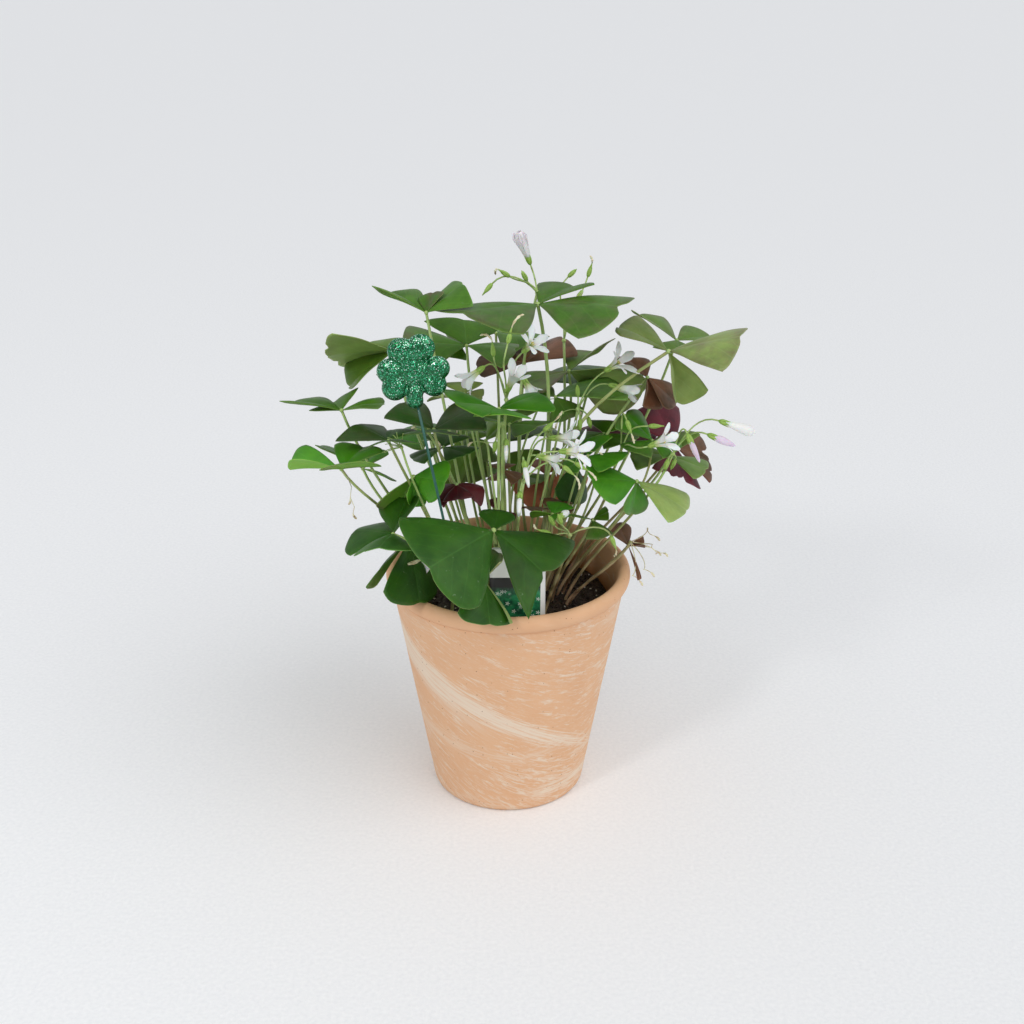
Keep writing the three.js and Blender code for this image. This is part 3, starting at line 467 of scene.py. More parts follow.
def stalk(bm, line, radii, finish=2, sides=8, tone=0.5):
    """A closed round stalk, drawn out from ring to ring along a line of points, in millimetres."""
    marks = bm.verts.layers.float
    aside = (line[1] - line[0]).orthogonal()
    rings = []
    for step, centre in enumerate(line):
        ahead = (line[min(step + 1, len(line) - 1)] - line[max(step - 1, 0)]).normalized()
        aside = (aside - ahead * aside.dot(ahead)).normalized()
        turn = Matrix((aside, ahead.cross(aside), ahead)).transposed().to_4x4()
        rings.append(Matrix.Translation(centre * MM) @ turn)
    made = bmesh.ops.create_circle(bm, cap_ends=True, segments=sides, radius=radii[0] * MM,
                                   matrix=rings[0])['verts']
    corners = list(made)
    end = list(made[0].link_faces)
    for step in range(1, len(line)):
        drawn = bmesh.ops.extrude_face_region(bm, geom=end)['geom']
        ring = [part for part in drawn if isinstance(part, bmesh.types.BMVert)]
        widen = Matrix.Scale(radii[step] / radii[step - 1], 4)
        bmesh.ops.transform(bm, matrix=rings[step] @ widen @ rings[step - 1].inverted(), verts=ring)
        end = [part for part in drawn if isinstance(part, bmesh.types.BMFace)]
        corners += ring
    for vert in corners:
        vert[marks['tone']] = tone
        for face in vert.link_faces:
            face.material_index = finish


def thinned(line, radius, thinning=0.2):
    """The radii of a stalk that gets thinner along its line by a share."""
    return [radius * (1 - thinning * step / (len(line) - 1)) for step in range(len(line))]


def bead(bm, centre, radius, finish=2, detail=2):
    """A small round swelling."""
    made = bmesh.ops.create_icosphere(bm, subdivisions=detail, radius=radius * MM,
                                      matrix=Matrix.Translation(centre * MM))['verts']
    for vert in made:
        for face in vert.link_faces:
            face.material_index = finish


# Which of its possible sways each stem takes, by where it ends, so that it goes past the blades and
# not through one. A higher number also sways further.
SWAYS = {(-46, -8, 310): 8, (17, 6, 311): 30, (-67, -40, 245): 62, (-93, -50, 232): 138, (-58, -42, 184): 1,
         (-42, -30, 248): 70, (1, 0, 240): 40, (92, -4, 286): 93, (37, 42, 259): 81, (82, 12, 265): 12,
         (47, -10, 224): 6, (-54, -34, 221): 1, (-62, 72, 262): 27, (-3, -8, 214): 3, (28, 12, 253): 11,
         (85, 0, 230): 74, (-32, 44, 213): 131, (58, 22, 226): 23, (-1, -16, 261): 2, (41, 4, 248): 33,
         (17, 24, 313): 131, (34, 50, 276): 30, (-22, -10, 244): 42, (22, -6, 238): 18, (32, 4, 246): 24,
         (-46, -14, 240): 111, (44, -8, 226): 1, (20, 30, 244): 126}


def stem_line(tip, foot, steps, lean=STEM_LEAN):
    """The line of a stem: upright out of the soil, then leaning out in one soft bend to its tip, with a
    little sway of its own."""
    foot = foot or (ROOT_SHARE * tip[0], ROOT_SHARE * tip[1])
    ground = soil_height(*foot)
    start, top = Vector((*foot, ground + 1)), Vector(tip)
    rise = top.z - start.z
    low, high = start.lerp(top, 0.22), top.lerp(start, lean)
    low.z, high.z = start.z + STEM_BEND * rise, top.z - STEM_BEND * rise
    sway = SWAYS.get(tip, 0)
    chance = random.Random(f'{tip} {sway}')
    for bend in (low, high):
        bend.xy += Vector((chance.uniform(-4, 4), chance.uniform(-5, 5))) * (1 + 0.03 * sway)
    return [Vector((*foot, ground - 10))] + interpolate_bezier(start, low, high, top, steps)


# Living leaf: a waxy skin with a soft satin gloss. Each colour has an upper face and a paler
# underside, each as its own green, what it turns to in clouds, and its veins; then how dusty it is.
LEAF_COLOURS = {
    # The bright set is a lighter green of its own and partly painted light, for the glow of back-lit leaflets.
    'bright': (('#4F9022', '#3C7A1C', '#6FA64A'), ('#76A838', '#6A9E30', '#94BC62'), 0.1),
    'green': (('#4E7C1C', '#3C6612', '#6F9A46'), ('#6C963A', '#5F8830', '#8FB163'), 0.2),
    'dark': (('#335F16', '#234C0E', '#4C7A30'), ('#547F2C', '#477024', '#76995A'), 1.0),
    'olive': (('#688A34', '#54762A', '#86A65A'), ('#7A9646', '#6D893C', '#9CB272'), 0.3),
    'sage': (('#8CA254', '#748C42', '#A8BA7E'), ('#8B9E5C', '#7B8F4C', '#A4B27E'), 0.2),
    'brown': (('#80563E', '#4E3A24', '#94745A'), ('#80604C', '#5E4636', '#9A8068'), 0.1),
    'purple': (('#701E2E', '#481622', '#8A4450'), ('#7E2C3E', '#5E2030', '#9F5565'), 0.1),
    'rust': (('#C0765A', '#9C573C', '#D19A84'), ('#C07C62', '#A05C44', '#D3A28E'), 0.1),
}
leaf_finishes = {}
for colour, (upper, under, dusty) in LEAF_COLOURS.items():
    for face, (base, shade_of, line) in (('upper', upper), ('under', under)):
        matt = 0.44 if face == 'upper' else 0.62
        skin, add, shader = surface(f'{colour}_leaf_{face}', {
            'Specular IOR Level': 0.28, 'Subsurface Weight': 0.12, 'Subsurface Scale': 1.2 * MM})
        where = add('TexCoord').outputs['Object']
        blade = add('UVMap', uv_map='blade')
        across, along, _ = add('SeparateXYZ', {0: blade}).outputs
        offset = add('Math', {0: across, 1: -0.5}, operation='ADD')
        aside = add('Math', {0: offset}, operation='ABSOLUTE')
        # The midrib is a fine line, under a millimetre wide.
        rib = add('MapRange', {'Value': aside, 'From Min': 0.001, 'From Max': 0.007, 'To Min': 1, 'To Max': 0})
        # Side veins leave it about every quarter of the length and run out and forwards.
        wander = add('TexNoise', {'Vector': blade, 'Scale': 5, 'Detail': 1})
        bent = add('Math', {0: wander, 1: 0.16}, operation='MULTIPLY')
        start = add('Math', {0: aside, 1: -1.9, 2: along}, operation='MULTIPLY_ADD')
        bowed = add('Math', {0: start, 1: bent}, operation='ADD')
        order = add('Math', {0: bowed, 1: 0.115}, operation='PINGPONG')
        vein_line = add('MapRange', {'Value': order, 'From Max': 0.014, 'To Min': 0.5, 'To Max': 0})
        lines = add('Math', {0: rib, 1: vein_line}, operation='MAXIMUM')
        # Clouds of a darker green, about 16 mm across, with finer ones in them.
        clouds = add('TexNoise', {'Vector': where, 'Scale': 60, 'Detail': 5, 'Roughness': 0.6})
        cloudy = add('MapRange', {'Value': clouds, 'From Min': 0.38, 'From Max': 0.66})
        fill = add('Mix', {0: cloudy, 6: base, 7: shade_of}, data_type='RGBA')
        # Mauve shows through an old leaf in clouds, along its rim and most of all in its two tips.
        mauve = add('Attribute', attribute_name='mauve').outputs['Fac']
        margin = add('Attribute', attribute_name='margin').outputs['Fac']
        flush = add('TexNoise', {'Vector': where, 'Scale': 45, 'Detail': 6, 'Roughness': 0.65,
                                 'Distortion': 0.4})
        rim = add('MapRange', {'Value': margin, 'From Min': 0.75, 'To Max': 0.16})
        centred = add('Math', {0: offset, 1: 2}, operation='MULTIPLY')
        corner = add('CombineXYZ', {'X': centred, 'Y': along})
        reach = add('VectorMath', {0: corner}, operation='LENGTH')
        tip = add('MapRange', {'Value': reach, 'From Min': 0.88, 'To Max': 0.35})
        most = add('Math', {0: rim, 1: tip}, operation='MAXIMUM')
        risen = add('Math', {0: flush, 1: most}, operation='ADD')
        flushed = add('MapRange', {'Value': risen, 'From Min': 0.46, 'From Max': 0.78})
        tinge = add('Math', {0: flushed, 1: mauve}, operation='MULTIPLY')
        pale = add('Math', {0: lines, 1: 0.3}, operation='MULTIPLY')
        # The very edge is paler, where the blade thins out.
        edge = add('MapRange', {'Value': margin, 'From Min': 0.97, 'To Max': 0.3})
        # Dried drops and dust leave small pale marks.
        marks = add('TexNoise', {'Vector': where, 'Scale': 230, 'Detail': 2, 'Distortion': 1.8})
        dust = add('MapRange', {'Value': marks, 'From Min': 0.7, 'From Max': 0.78, 'To Max': 0.3 * dusty})
        for share, over in (tinge, '#6E5450'), (pale, line), (edge, line), (dust, '#A9B8A0'):
            fill = add('Mix', {0: share, 6: fill, 7: over}, data_type='RGBA')
        # Each leaflet has its own tone, from dark to light: partly its age, from old to young, and partly
        # painted shade, darker where a leaflet stands in shade.
        tone = add('Attribute', attribute_name='tone').outputs['Fac']
        light = add('MapRange', {'Value': tone, 'To Min': 0.5, 'To Max': 1.5})
        rich = add('MapRange', {'Value': tone, 'To Min': 1.1, 'To Max': 0.95})
        toned = add('HueSaturation', {'Saturation': rich, 'Value': light, 'Color': fill})
        # Cells of about a millimetre give the skin its grain, and the veins lie a little below it.
        cells = add('TexNoise', {'Vector': where, 'Scale': 900, 'Detail': 3})
        gloss = add('MapRange', {'Value': clouds, 'To Min': matt - 0.12, 'To Max': matt + 0.14})
        relief = add('Math', {0: lines, 1: -1.2, 2: cells}, operation='MULTIPLY_ADD')
        grain = add('Bump', {'Height': relief, 'Strength': 0.35, 'Distance': 0.14 * MM})
        plug(shader, {'Base Color': toned, 'Roughness': gloss, 'Normal': grain})
        leaf_finishes[colour, face] = skin

# Living stalk: juicy pale green with a satin skin, flushed pinkish brown near the soil, and most of
# all at the right.
green_stalk, add, shader = surface('juicy_green_stalk', {
    'Roughness': 0.42, 'Subsurface Weight': 0.15, 'Subsurface Scale': 1.0 * MM})
where = add('TexCoord').outputs['Object']
x, _, height = add('SeparateXYZ', {0: where}).outputs
mottle = add('TexNoise', {'Vector': where, 'Scale': 45, 'Detail': 3})
greens = add('Mix', {0: mottle, 6: '#8EAE54', 7: '#C0D58E'}, data_type='RGBA')
tone = add('Attribute', attribute_name='tone').outputs['Fac']
old = add('MapRange', {'Value': tone, 'From Min': 0.6, 'To Max': 0.8})
aged = add('Mix', {0: old, 6: greens, 7: '#A3935F'}, data_type='RGBA')
low = add('MapRange', {'Value': height, 'From Min': 0.205, 'From Max': 0.135})
right = add('MapRange', {'Value': x, 'From Min': -0.02, 'From Max': 0.03, 'To Min': 0.25, 'To Max': 0.85})
flush = add('Math', {0: low, 1: right}, operation='MULTIPLY')
pinks = add('Mix', {0: mottle, 6: '#7A4A38', 7: '#B98A78'}, data_type='RGBA')
flushed = add('Mix', {0: flush, 6: aged, 7: pinks}, data_type='RGBA')
fibres = add('Bump', {'Height': mottle, 'Strength': 0.2, 'Distance': 0.2 * MM})
plug(shader, {'Base Color': flushed, 'Normal': fibres})

# Every leaf: colour, hub, and its leaflets as heading, rise and roll in degrees, length, fold in
# degrees, and for some how light and how mauve they are. Last comes what is off the rule: the foot,
# radius and lean of its stalk, and the colours of its skin, its back and its odd leaflets.
LEAVES = {
    'top_left': ('green', (-46, -8, 310), [
        (145, 15, 15, 36, 20, 0.5, 0.1), (15, 40, 5, 31, -10, 0.75, 0), (70, 45, -25, 16, 10, 0.5, 0.8)]),
    'top_centre': ('green', (17, 6, 311), [
        (-142, 9, 3, 62, -7, 0.4, 0.5), (-25, 10, 5, 60, -10, 0.5, 0.5),
        (45, 15, -10, 36, 10, 0.35, 0.2)], dict(radius=1.25, foot=(24, 4), lean=2.4)),
    'upper_centre': ('green', (-25, 36, 277), [
        (-170, 10, -14, 45, -10), (95, 27, 10, 37, -10), (-10, 5, 0, 36, -10)], dict(foot=(-6, 8))),
    'upper_left': ('olive', (-68, 26, 277), [
        (180, 0, 35, 48, 5, 0.95, 0.2), (-165, -33, 5, 42, 15, 0.3, 0), (80, 5, 5, 30, -10)]),
    'far_left': ('green', (-95, -20, 256), [(160, 5, 15, 38, 10), (8, 12, -10, 30, 5), (110, 0, -20, 24, 10)]),
    'left_dark': ('dark', (-67, -40, 245), [
        (140, 15, 5, 30, -15), (88, 3, -10, 24, -10), (-85, 25, 5, 26, -10)], dict(foot=(-25, -35))),
    'left_bright': ('bright', (-93, -50, 232), [
        (180, 5, 10, 35, 30, 0.85, 0), (60, 20, -5, 28, 10), (-65, 35, -5, 29, -10)], dict(foot=(-34, -22))),
    'left_small': ('bright', (-88, 12, 207), [
        (160, 25, 25, 36, 5), (-20, -10, -30, 24, 5), (60, 30, -15, 20, 0)]),
    'lower_left': ('dark', (-65, -54, 194), [
        (145, -6, -12, 32, -15, 0.6, 0), (-103, 13, 10, 30, -15, 0.95, 0),
        (72, 38, -25, 27, 18, 0.45, 0.1)], dict(foot=(-16, -15), lean=0.6)),
    'over_rim_left': ('dark', (-58, -42, 184), [
        (-62, -56, -30, 41, -10, 0.5, 0), (-165, -50, 25, 42, 8, 0.4, 0)]),
    'front': ('dark', (-8, -60, 199), [
        (-127, 0, -40, 54, -16, 0.62, 0), (-18, -20, 17, 58, -16, 0.42, 0.08),
        (80, 22, 6, 18, 5, 0.3, 0)], dict(radius=1.25, lean=0.55)),
    'on_rim': ('dark', (-14, -70, 173), [
        (-75, -38, -25, 31, -12, 0.6, 0), (40, 55, 0, 20, 25, 0.9, 0.5)], dict(back='sage', foot=(-15, -49))),
    'middle_left': ('dark', (-42, -30, 248), [
        (145, 35, 5, 30, -10), (25, 25, 5, 32, -8), (-92, 20, 0, 24, -5)]),
    'middle': ('bright', (-5, -40, 264), [
        (-150, 22, -4, 36, 5, 0.3, 0), (28, 14, -5, 34, -12, 0.2, 0), (-82, 16, -5, 26, -5, 0.4, 0)]),
    'middle_under': ('green', (1, 0, 240), [(-40, 15, 0, 27, -5), (165, 15, 10, 24, 5), (80, 15, -10, 20, 0)]),
    'top_right': ('green', (92, -4, 286), [
        (-20, 22, 5, 53, -8, 0.6, 0.7), (160, 25, 5, 40, 10, 0.25, 0.3),
        (-70, -55, -35, 35, 30, 0.4, 0.1)], dict(skin='sage', radius=1.25, foot=(22, 10), lean=1.1)),
    'top_right_back': ('olive', (102, 44, 278), [
        (140, 25, 20, 36, 10), (30, 0, 0, 32, 10), (-90, 0, -10, 24, 0)]),
    'mid_right': ('olive', (37, 42, 259), [
        (200, -5, 5, 38, 0, 0.45, 1), (4, -15, -46, 50, -8, 1.0, 0.6),
        (50, 15, -25, 36, 20, 0.5, 1)], dict(foot=(16, 26))),
    'brown_back': ('brown', (10, 64, 257), [(180, 0, 35, 37, 0), (25, 30, -5, 37, -10), (105, 10, 0, 30, 0)]),
    'brown_right': ('brown', (82, 12, 265), [
        (-15, -35, 5, 26, 5), (125, 25, 15, 24, 10), (-100, -50, -70, 22, 35)], dict(foot=(24, 4), lean=0.8)),
    'purple_right': ('purple', (104, 46, 209), [
        (125, 50, 5, 36, -8), (15, -25, 25, 34, 5),
        (-80, -30, -35, 33, -8)], dict(second='brown', foot=(36, 25))),
    'right_bright': ('bright', (75, -22, 213), [
        (-157, 16, -20, 31, -8, 0.5, 0), (-20, -20, -5, 40, 0, 0.8, 0),
        (-105, -72, -64, 21, 10, 0.7, 0.5)], dict(second='sage', foot=(30, -2))),
    'inner_right': ('bright', (47, -10, 224), [
        (-36, 10, 5, 25, -5), (70, 30, -25, 20, 0), (-160, -20, 5, 18, 0)], dict(foot=(20, -9))),
    'right_olive': ('olive', (97, 10, 216), [
        (180, 10, -5, 29, -5), (-20, -10, -5, 29, 0, 0.7, 0.2), (70, 30, -20, 24, 0)], dict(foot=(36, 12))),
    'hanging_dark': ('dark', (40, 16, 210), [
        (-80, -58, -40, 27, -10, 0.3, 0), (165, 30, 10, 18, 0), (30, 40, -20, 18, 0)]),
    'inner_olive': ('olive', (7, 25, 197), [(-30, 5, -5, 20, 0), (-175, 15, 5, 20, 0), (95, 40, -20, 22, 0)]),
    'low_green': ('bright', (-54, -34, 221), [
        (-30, 5, 40, 23, -5, 0.5, 0), (155, -58, 10, 30, 15, 0.6, 1),
        (-90, -55, -65, 20, 20, 0.5, 0)], dict(second='brown')),
    'inner_left': ('olive', (-14, 44, 213), [
        (170, -30, -25, 32, -5), (-80, -50, -40, 16, 5), (45, 30, -10, 26, 0)]),
    'low_right': ('green', (50, -19, 187), [
        (200, 25, 15, 18, 0), (0, 35, 5, 13, 0), (-60, -40, -5, 15, 0)], dict(foot=(27, -9))),
    'rim_right': ('brown', (73, -4, 163), [
        (125, 50, 15, 17, 0), (-50, -58, -30, 22, 74, 0.55, 0), (5, -5, 20, 12, 60)], dict(foot=(36, -12))),
    'back_left': ('green', (-62, 72, 262), [(150, 5, 0, 40, -12), (30, 10, 0, 38, -10), (-85, 0, 5, 34, -10)]),
    'back_centre': ('green', (-8, 92, 268), [
        (190, 10, 5, 38, -10), (80, -10, 0, 42, -12), (-35, 8, 0, 36, -10)]),
    'back_right': ('dark', (54, 92, 242), [(115, -5, 0, 40, -10), (-5, 0, 5, 40, -12), (-125, 5, 0, 34, -8)]),
    'back_low_left': ('bright', (-52, 84, 206), [
        (110, -10, 0, 36, -10), (5, 0, 5, 34, -10), (-138, 0, 0, 30, -8)]),
    'back_low_centre': ('dark', (8, 100, 204), [
        (165, 0, 0, 36, -10), (50, -15, 0, 38, -12), (-70, 5, 0, 32, -8)]),
    'back_low_right': ('purple', (70, 74, 214), [
        (95, -15, 0, 36, -10), (-20, -5, 0, 32, -10), (-120, 5, 0, 30, -8)]),
}
# Leaflets with an outline of their own, and some in their leaf's second colour.
TRIMS = {
    ('front', 0): dict(flat=0.0, notch=0.03, round=(0.02, 0.14)),
    ('front', 1): dict(flat=1.0, notch=0.06, round=(0.02, 0.03), skew=-0.35),
    ('front', 2): dict(flat=0.1, notch=0.0, round=(0.15, 0.15)),
    ('on_rim', 0): dict(flat=0.4, round=(0.14, 0.06), curl=(0, 3.6)),
    ('on_rim', 1): dict(flat=0.3, round=(0.15, 0.15), curl=(2.2, 2.2)),
    ('lower_left', 0): dict(flat=0.2, round=(0.12, 0.15)),
    ('lower_left', 1): dict(flat=0.2, round=(0.1, 0.12), bites=[(-0.5, 0.06, 0.05)]),
    ('lower_left', 2): dict(flat=0.2, round=(0.12, 0.12)),
    ('over_rim_left', 1): dict(flat=0.7, round=(0.04, 0.04), curl=(1.4, 0)),
    ('over_rim_left', 0): dict(flat=0.3, round=(0.12, 0.08)),
    ('top_centre', 0): dict(flat=0.35, round=(0.06, 0.1)),
    ('top_centre', 1): dict(flat=0.4, notch=0.07, round=(0.12, 0.1)),
    ('upper_centre', 1): dict(flat=1.0, notch=0.03),
    ('upper_left', 0): dict(bites=[(-0.7, 0.05, 0.08), (0.45, 0.06, 0.06)]),
    ('mid_right', 1): dict(flat=0.15, notch=0.02, round=(0.14, 0.12)),
    ('top_right', 1): dict(flat=0.6, notch=0.02, round=(0.05, 0.1)),
    ('top_right', 2): dict(flat=0.3, round=(0.12, 0.04)),
    ('purple_right', 0): dict(flat=0.5, round=(0.05, 0.1)),
    ('purple_right', 1): dict(flat=0.5, round=(0.05, 0.1), finish=3,
                              bites=[(0.3, 0.1, 0.2), (-0.5, 0.05, 0.06)]),
    ('purple_right', 2): dict(flat=0.7, bites=[(-0.55, 0.07, 0.1), (-0.2, 0.05, 0.07), (0.15, 0.06, 0.12)]),
    ('right_bright', 0): dict(flat=0.1, notch=0.03, round=(0.14, 0.14)),
    ('right_bright', 1): dict(flat=0.5, notch=0.02, round=(0.03, 0.06), finish=3),
    ('right_bright', 2): dict(flat=0.1, round=(0.14, 0.14)),
    ('hanging_dark', 0): dict(flat=0.1, notch=0.02, round=(0.14, 0.14)),
    ('brown_right', 0): dict(flat=0.3, round=(0.12, 0.12)),
    ('low_green', 0): dict(flat=0.2, round=(0.12, 0.12)),
    ('low_green', 1): dict(finish=3),
    ('rim_right', 0): dict(flat=0.2, round=(0.12, 0.12)),
    ('rim_right', 2): dict(bites=[(0.3, 0.1, 0.12)]),
}


def draw_leaf(bm, name, hub, leaflets, foot=None, radius=STALK_RADIUS, lean=STEM_LEAN, young=False):
    """A whole leaf: its stalk, the small joint on top and the leaflets round it."""
    chance = random.Random(name)
    line = stem_line(hub, foot, 16, lean)
    stalk(bm, line, thinned(line, radius), tone=random.Random(f'{name} stalk').random())
    bead(bm, Vector(hub), 1.25 * radius)
    for k, shape in enumerate(leaflets):
        leaflet(bm, Vector(hub), shape, chance, TRIMS.get((name, k), {}), young)


for name, (colour, hub, leaflets, *off_rule) in LEAVES.items():
    bm = thin_stock()
    plan = dict(*off_rule)
    draw_leaf(bm, name, hub, leaflets, plan.get('foot'), plan.get('radius', STALK_RADIUS),
              plan.get('lean', STEM_LEAN), colour == 'bright')
    skin = plan.get('skin', colour)
    finishes = [leaf_finishes[skin, 'upper'], leaf_finishes[plan.get('back', skin), 'under'],
                green_stalk, leaf_finishes[plan.get('second', skin), 'upper']]
    piece(f'trefoil_{name}', bm, finishes, colour, f'leaf_{name}')

# Two young purple leaves rise from one bulb and share its neck.
bm = thin_stock()
YOUNG = {
    'young_left': ((-30, -22, 211), [(178, -25, -20, 16, -20, 0.15, 0.4), (-85, -20, 10, 14, -10, 0.1, 0.4),
                                     (10, -8, 8, 20, -25, 0.2, 0.4)]),
    'young_right': ((-3, -6, 186), [(145, 45, 15, 13, 0), (-150, -15, 0, 10, 0), (-5, -15, -5, 10, 0)]),
}
for name, (hub, leaflets) in YOUNG.items():
    draw_leaf(bm, name, hub, leaflets, (-8, -6), 0.9)
finishes = [leaf_finishes['purple', 'upper'], leaf_finishes['purple', 'under'], green_stalk]
piece('trefoil_young_pair', bm, finishes, 'purple', 'leaf_low_purple_pair')

# A few more small leaves stand deep among the stalks: colour, hub, foot and leaflets.
DEEP_LEAVES = {
    'deep_green': ('bright', (26, -22, 192), (14, -12), [
        (178, 8, 35, 16, -5), (60, 20, 0, 14, 0), (-60, 10, 0, 12, 0)]),
    'deep_brown': ('brown', (25, -8, 189), (15, -2), [
        (190, 15, 20, 20, -5), (70, 10, 0, 16, 0), (-40, 5, 0, 15, 0)]),
    'deep_red': ('brown', (-3, -8, 214), (-3, -4), [
        (-150, -15, 20, 13, -10), (-20, -20, 0, 13, 0), (95, 5, 0, 13, 0)]),
    'yellowing': ('sage', (-26, 14, 254), (-10, 4), [
        (-150, 10, 20, 24, -5), (-10, 0, 10, 14, 0), (95, 15, 0, 18, 0)]),
    'deep_left': ('dark', (-38, -6, 228), (-16, -4), [
        (200, -10, 10, 24, 0), (-40, 5, 0, 22, 0), (85, 10, 0, 22, 0)]),
    'fan': ('green', (28, 12, 253), (22, 8), [
        (24, 14, -6, 46, -8, 0.85, 0.2), (-50, -35, 10, 19, 0), (140, 10, 0, 18, 0)]),
    'mid_green': ('bright', (85, 0, 230), (34, 2), [
        (150, 42, 0, 27, -5), (-30, -10, 0, 20, 0), (-140, -5, 0, 20, 0)]),
    'rusty': ('rust', (23, 30, 196), (24, 16), [
        (-165, -38, -50, 27, -5, 0.6, 0), (-20, -42, 48, 29, -5, 0.7, 0), (80, 10, 0, 24, 0)]),
    'deep_olive': ('olive', (-32, 44, 213), (-16, 34), [
        (-62, -62, 10, 33, -10, 0.5, 0.4), (165, 0, 20, 24, 0), (60, 10, 0, 22, 0)]),
    'deep_right': ('green', (58, 22, 226), (24, 8), [
        (-170, 5, 10, 24, 0), (-50, 0, 0, 22, 0), (70, 10, 0, 22, 0)]),
}
for name, (colour, hub, foot, leaflets) in DEEP_LEAVES.items():
    bm = thin_stock()
    draw_leaf(bm, name, hub, leaflets, foot, 0.85)
    finishes = [leaf_finishes[colour, 'upper'], leaf_finishes[colour, 'under'], green_stalk]
    piece(f'trefoil_{name}', bm, finishes, {'sage': 'green', 'rust': 'brown'}.get(colour, colour))


# ---- flower sprays ----
# A spray is one thin stalk with a knuckle on top, from which hair-thin pedicels arch to a calyx
# each. Buds and seed pods stay closed; the petals of a long bud are still furled.
# How long each kind of head is, and how thick along its length, as (share of the length, radius in
# millimetres).
HEADS = {
    'open': (5.2, [(0.1, 0.85), (0.3, 1.25), (0.6, 1.45), (0.85, 1.5), (1, 1.4)]),
    'bud': (7.5, [(0.1, 0.8), (0.25, 1.1), (0.45, 1.25), (0.65, 1.05), (0.85, 0.6), (1, 0.12)]),
    'pod': (9, [(0.08, 0.8), (0.22, 1.15), (0.4, 1.35), (0.6, 1.1), (0.75, 0.65), (0.9, 0.4), (1, 0.3)]),
    'slim': (3.6, [(0.15, 0.9), (0.4, 1.25), (0.7, 1.45), (1, 1.4)]),
}
HEADS['long'] = HEADS['opening'] = HEADS['open']
HEADS['withered'] = HEADS['pod']
# Furled petals along their length, in a slim bud and a plump one, and a withered tube: (share of the
# length, share of the radius).
SLIM = [(0, 0.6), (0.12, 0.8), (0.3, 1), (0.5, 0.95), (0.68, 0.78), (0.82, 0.6), (0.93, 0.42), (1, 0.12)]
PLUMP = [(0, 0.45), (0.12, 0.5), (0.3, 0.62), (0.5, 0.82), (0.65, 0.96), (0.8, 1), (0.92, 0.75), (1, 0.12)]
CRUMPLED = [0.35, 0.4, 0.75, 0.5, 0.85, 0.45, 0.6, 0.15]

# Sepals and pods: fresh yellow-green, matt.
sepal_green = mottled('fresh_sepal', {'Roughness': 0.5, 'Subsurface Weight': 0.1,
                                      'Subsurface Scale': 1.0 * MM}, 1000 / 300, 3,
                      ('#7FA93C', '#B3D06C'), (0.3, 0.2))

# Furled petals: white silk, on some buds with a lilac flush.
furled, add, shader = surface('furled_petals', {
    'Roughness': 0.55, 'Subsurface Weight': 0.15, 'Subsurface Scale': 1.5 * MM})
where = add('TexCoord').outputs['Object']
twist = add('TexNoise', {'Vector': where, 'Scale': 260, 'Detail': 2})
tone = add('Attribute', attribute_name='tone').outputs['Fac']
flush = add('Math', {0: twist, 1: 0.4}, operation='ADD')
blush = add('Math', {0: flush, 1: tone}, operation='MULTIPLY')
silk = add('Mix', {0: blush, 6: '#FBFBF6', 7: '#E6D0E6'}, data_type='RGBA')
pleats = add('Bump', {'Height': twist, 'Strength': 0.3, 'Distance': 0.3 * MM})
plug(shader, {'Base Color': silk, 'Normal': pleats})

# Withered petals: crumpled thin skin, straw yellow with brown ends.
withered_skin, add, shader = surface('withered_petals', {
    'Roughness': 0.75, 'Subsurface Weight': 0.1, 'Subsurface Scale': 1.0 * MM})
where = add('TexCoord').outputs['Object']
stain = add('TexNoise', {'Vector': where, 'Scale': 280, 'Detail': 4})
stained = add('MapRange', {'Value': stain, 'From Min': 0.48, 'From Max': 0.75})
straw = add('Mix', {0: stained, 6: '#EFE7C4', 7: '#B9955A'}, data_type='RGBA')
crumple = add('Bump', {'Height': stain, 'Strength': 0.6, 'Distance': 0.4 * MM})
plug(shader, {'Base Color': straw, 'Normal': crumple})

# Sepals along their length, as (how far on, how far out, half width) in millimetres.
OPEN_SEPALS = [(0.4, 0.75, 0.5), (1.8, 1.3, 0.85), (3.6, 1.55, 0.8), (5.2, 1.65, 0.5), (6.4, 1.7, 0.06)]
CLOSED_SEPALS = [(0.4, 0.75, 0.5), (1.6, 1.1, 0.75), (3.2, 1.25, 0.7), (5, 1.0, 0.4), (6.2, 0.7, 0.06)]
SHORT_SEPALS = [(0.65 * ahead, spread, half) for ahead, spread, half in OPEN_SEPALS]
SEPALS = {'bud': CLOSED_SEPALS, 'pod': CLOSED_SEPALS, 'withered': CLOSED_SEPALS, 'slim': SHORT_SEPALS}
PEDICEL_RADIUS = 0.5
NESTED = 0.6  # how far petals start inside their calyx
PETAL = 0.28  # thickness
# Half width of an average petal along its length, as (share of the length, millimetres).
PETAL_HALVES = [(0, 0.85), (0.25, 1.2), (0.5, 1.85), (0.7, 2.5), (0.85, 2.85), (0.95, 2.8), (1, 2.5)]


def direction(heading, rise):
    """A unit vector from a heading and a rise in degrees."""
    heading, rise = math.radians(heading), math.radians(rise)
    return Vector((math.cos(rise) * math.cos(heading), math.cos(rise) * math.sin(heading), math.sin(rise)))


def five_ways(along, turned_on):
    """Five directions evenly round a flower's axis, turned on by a share of the step between two."""
    side = Vector((0, 0, 1)).cross(along).normalized()
    return [Matrix.Rotation(2 * math.pi * (k + turned_on) / 5, 3, along) @ side for k in range(5)]


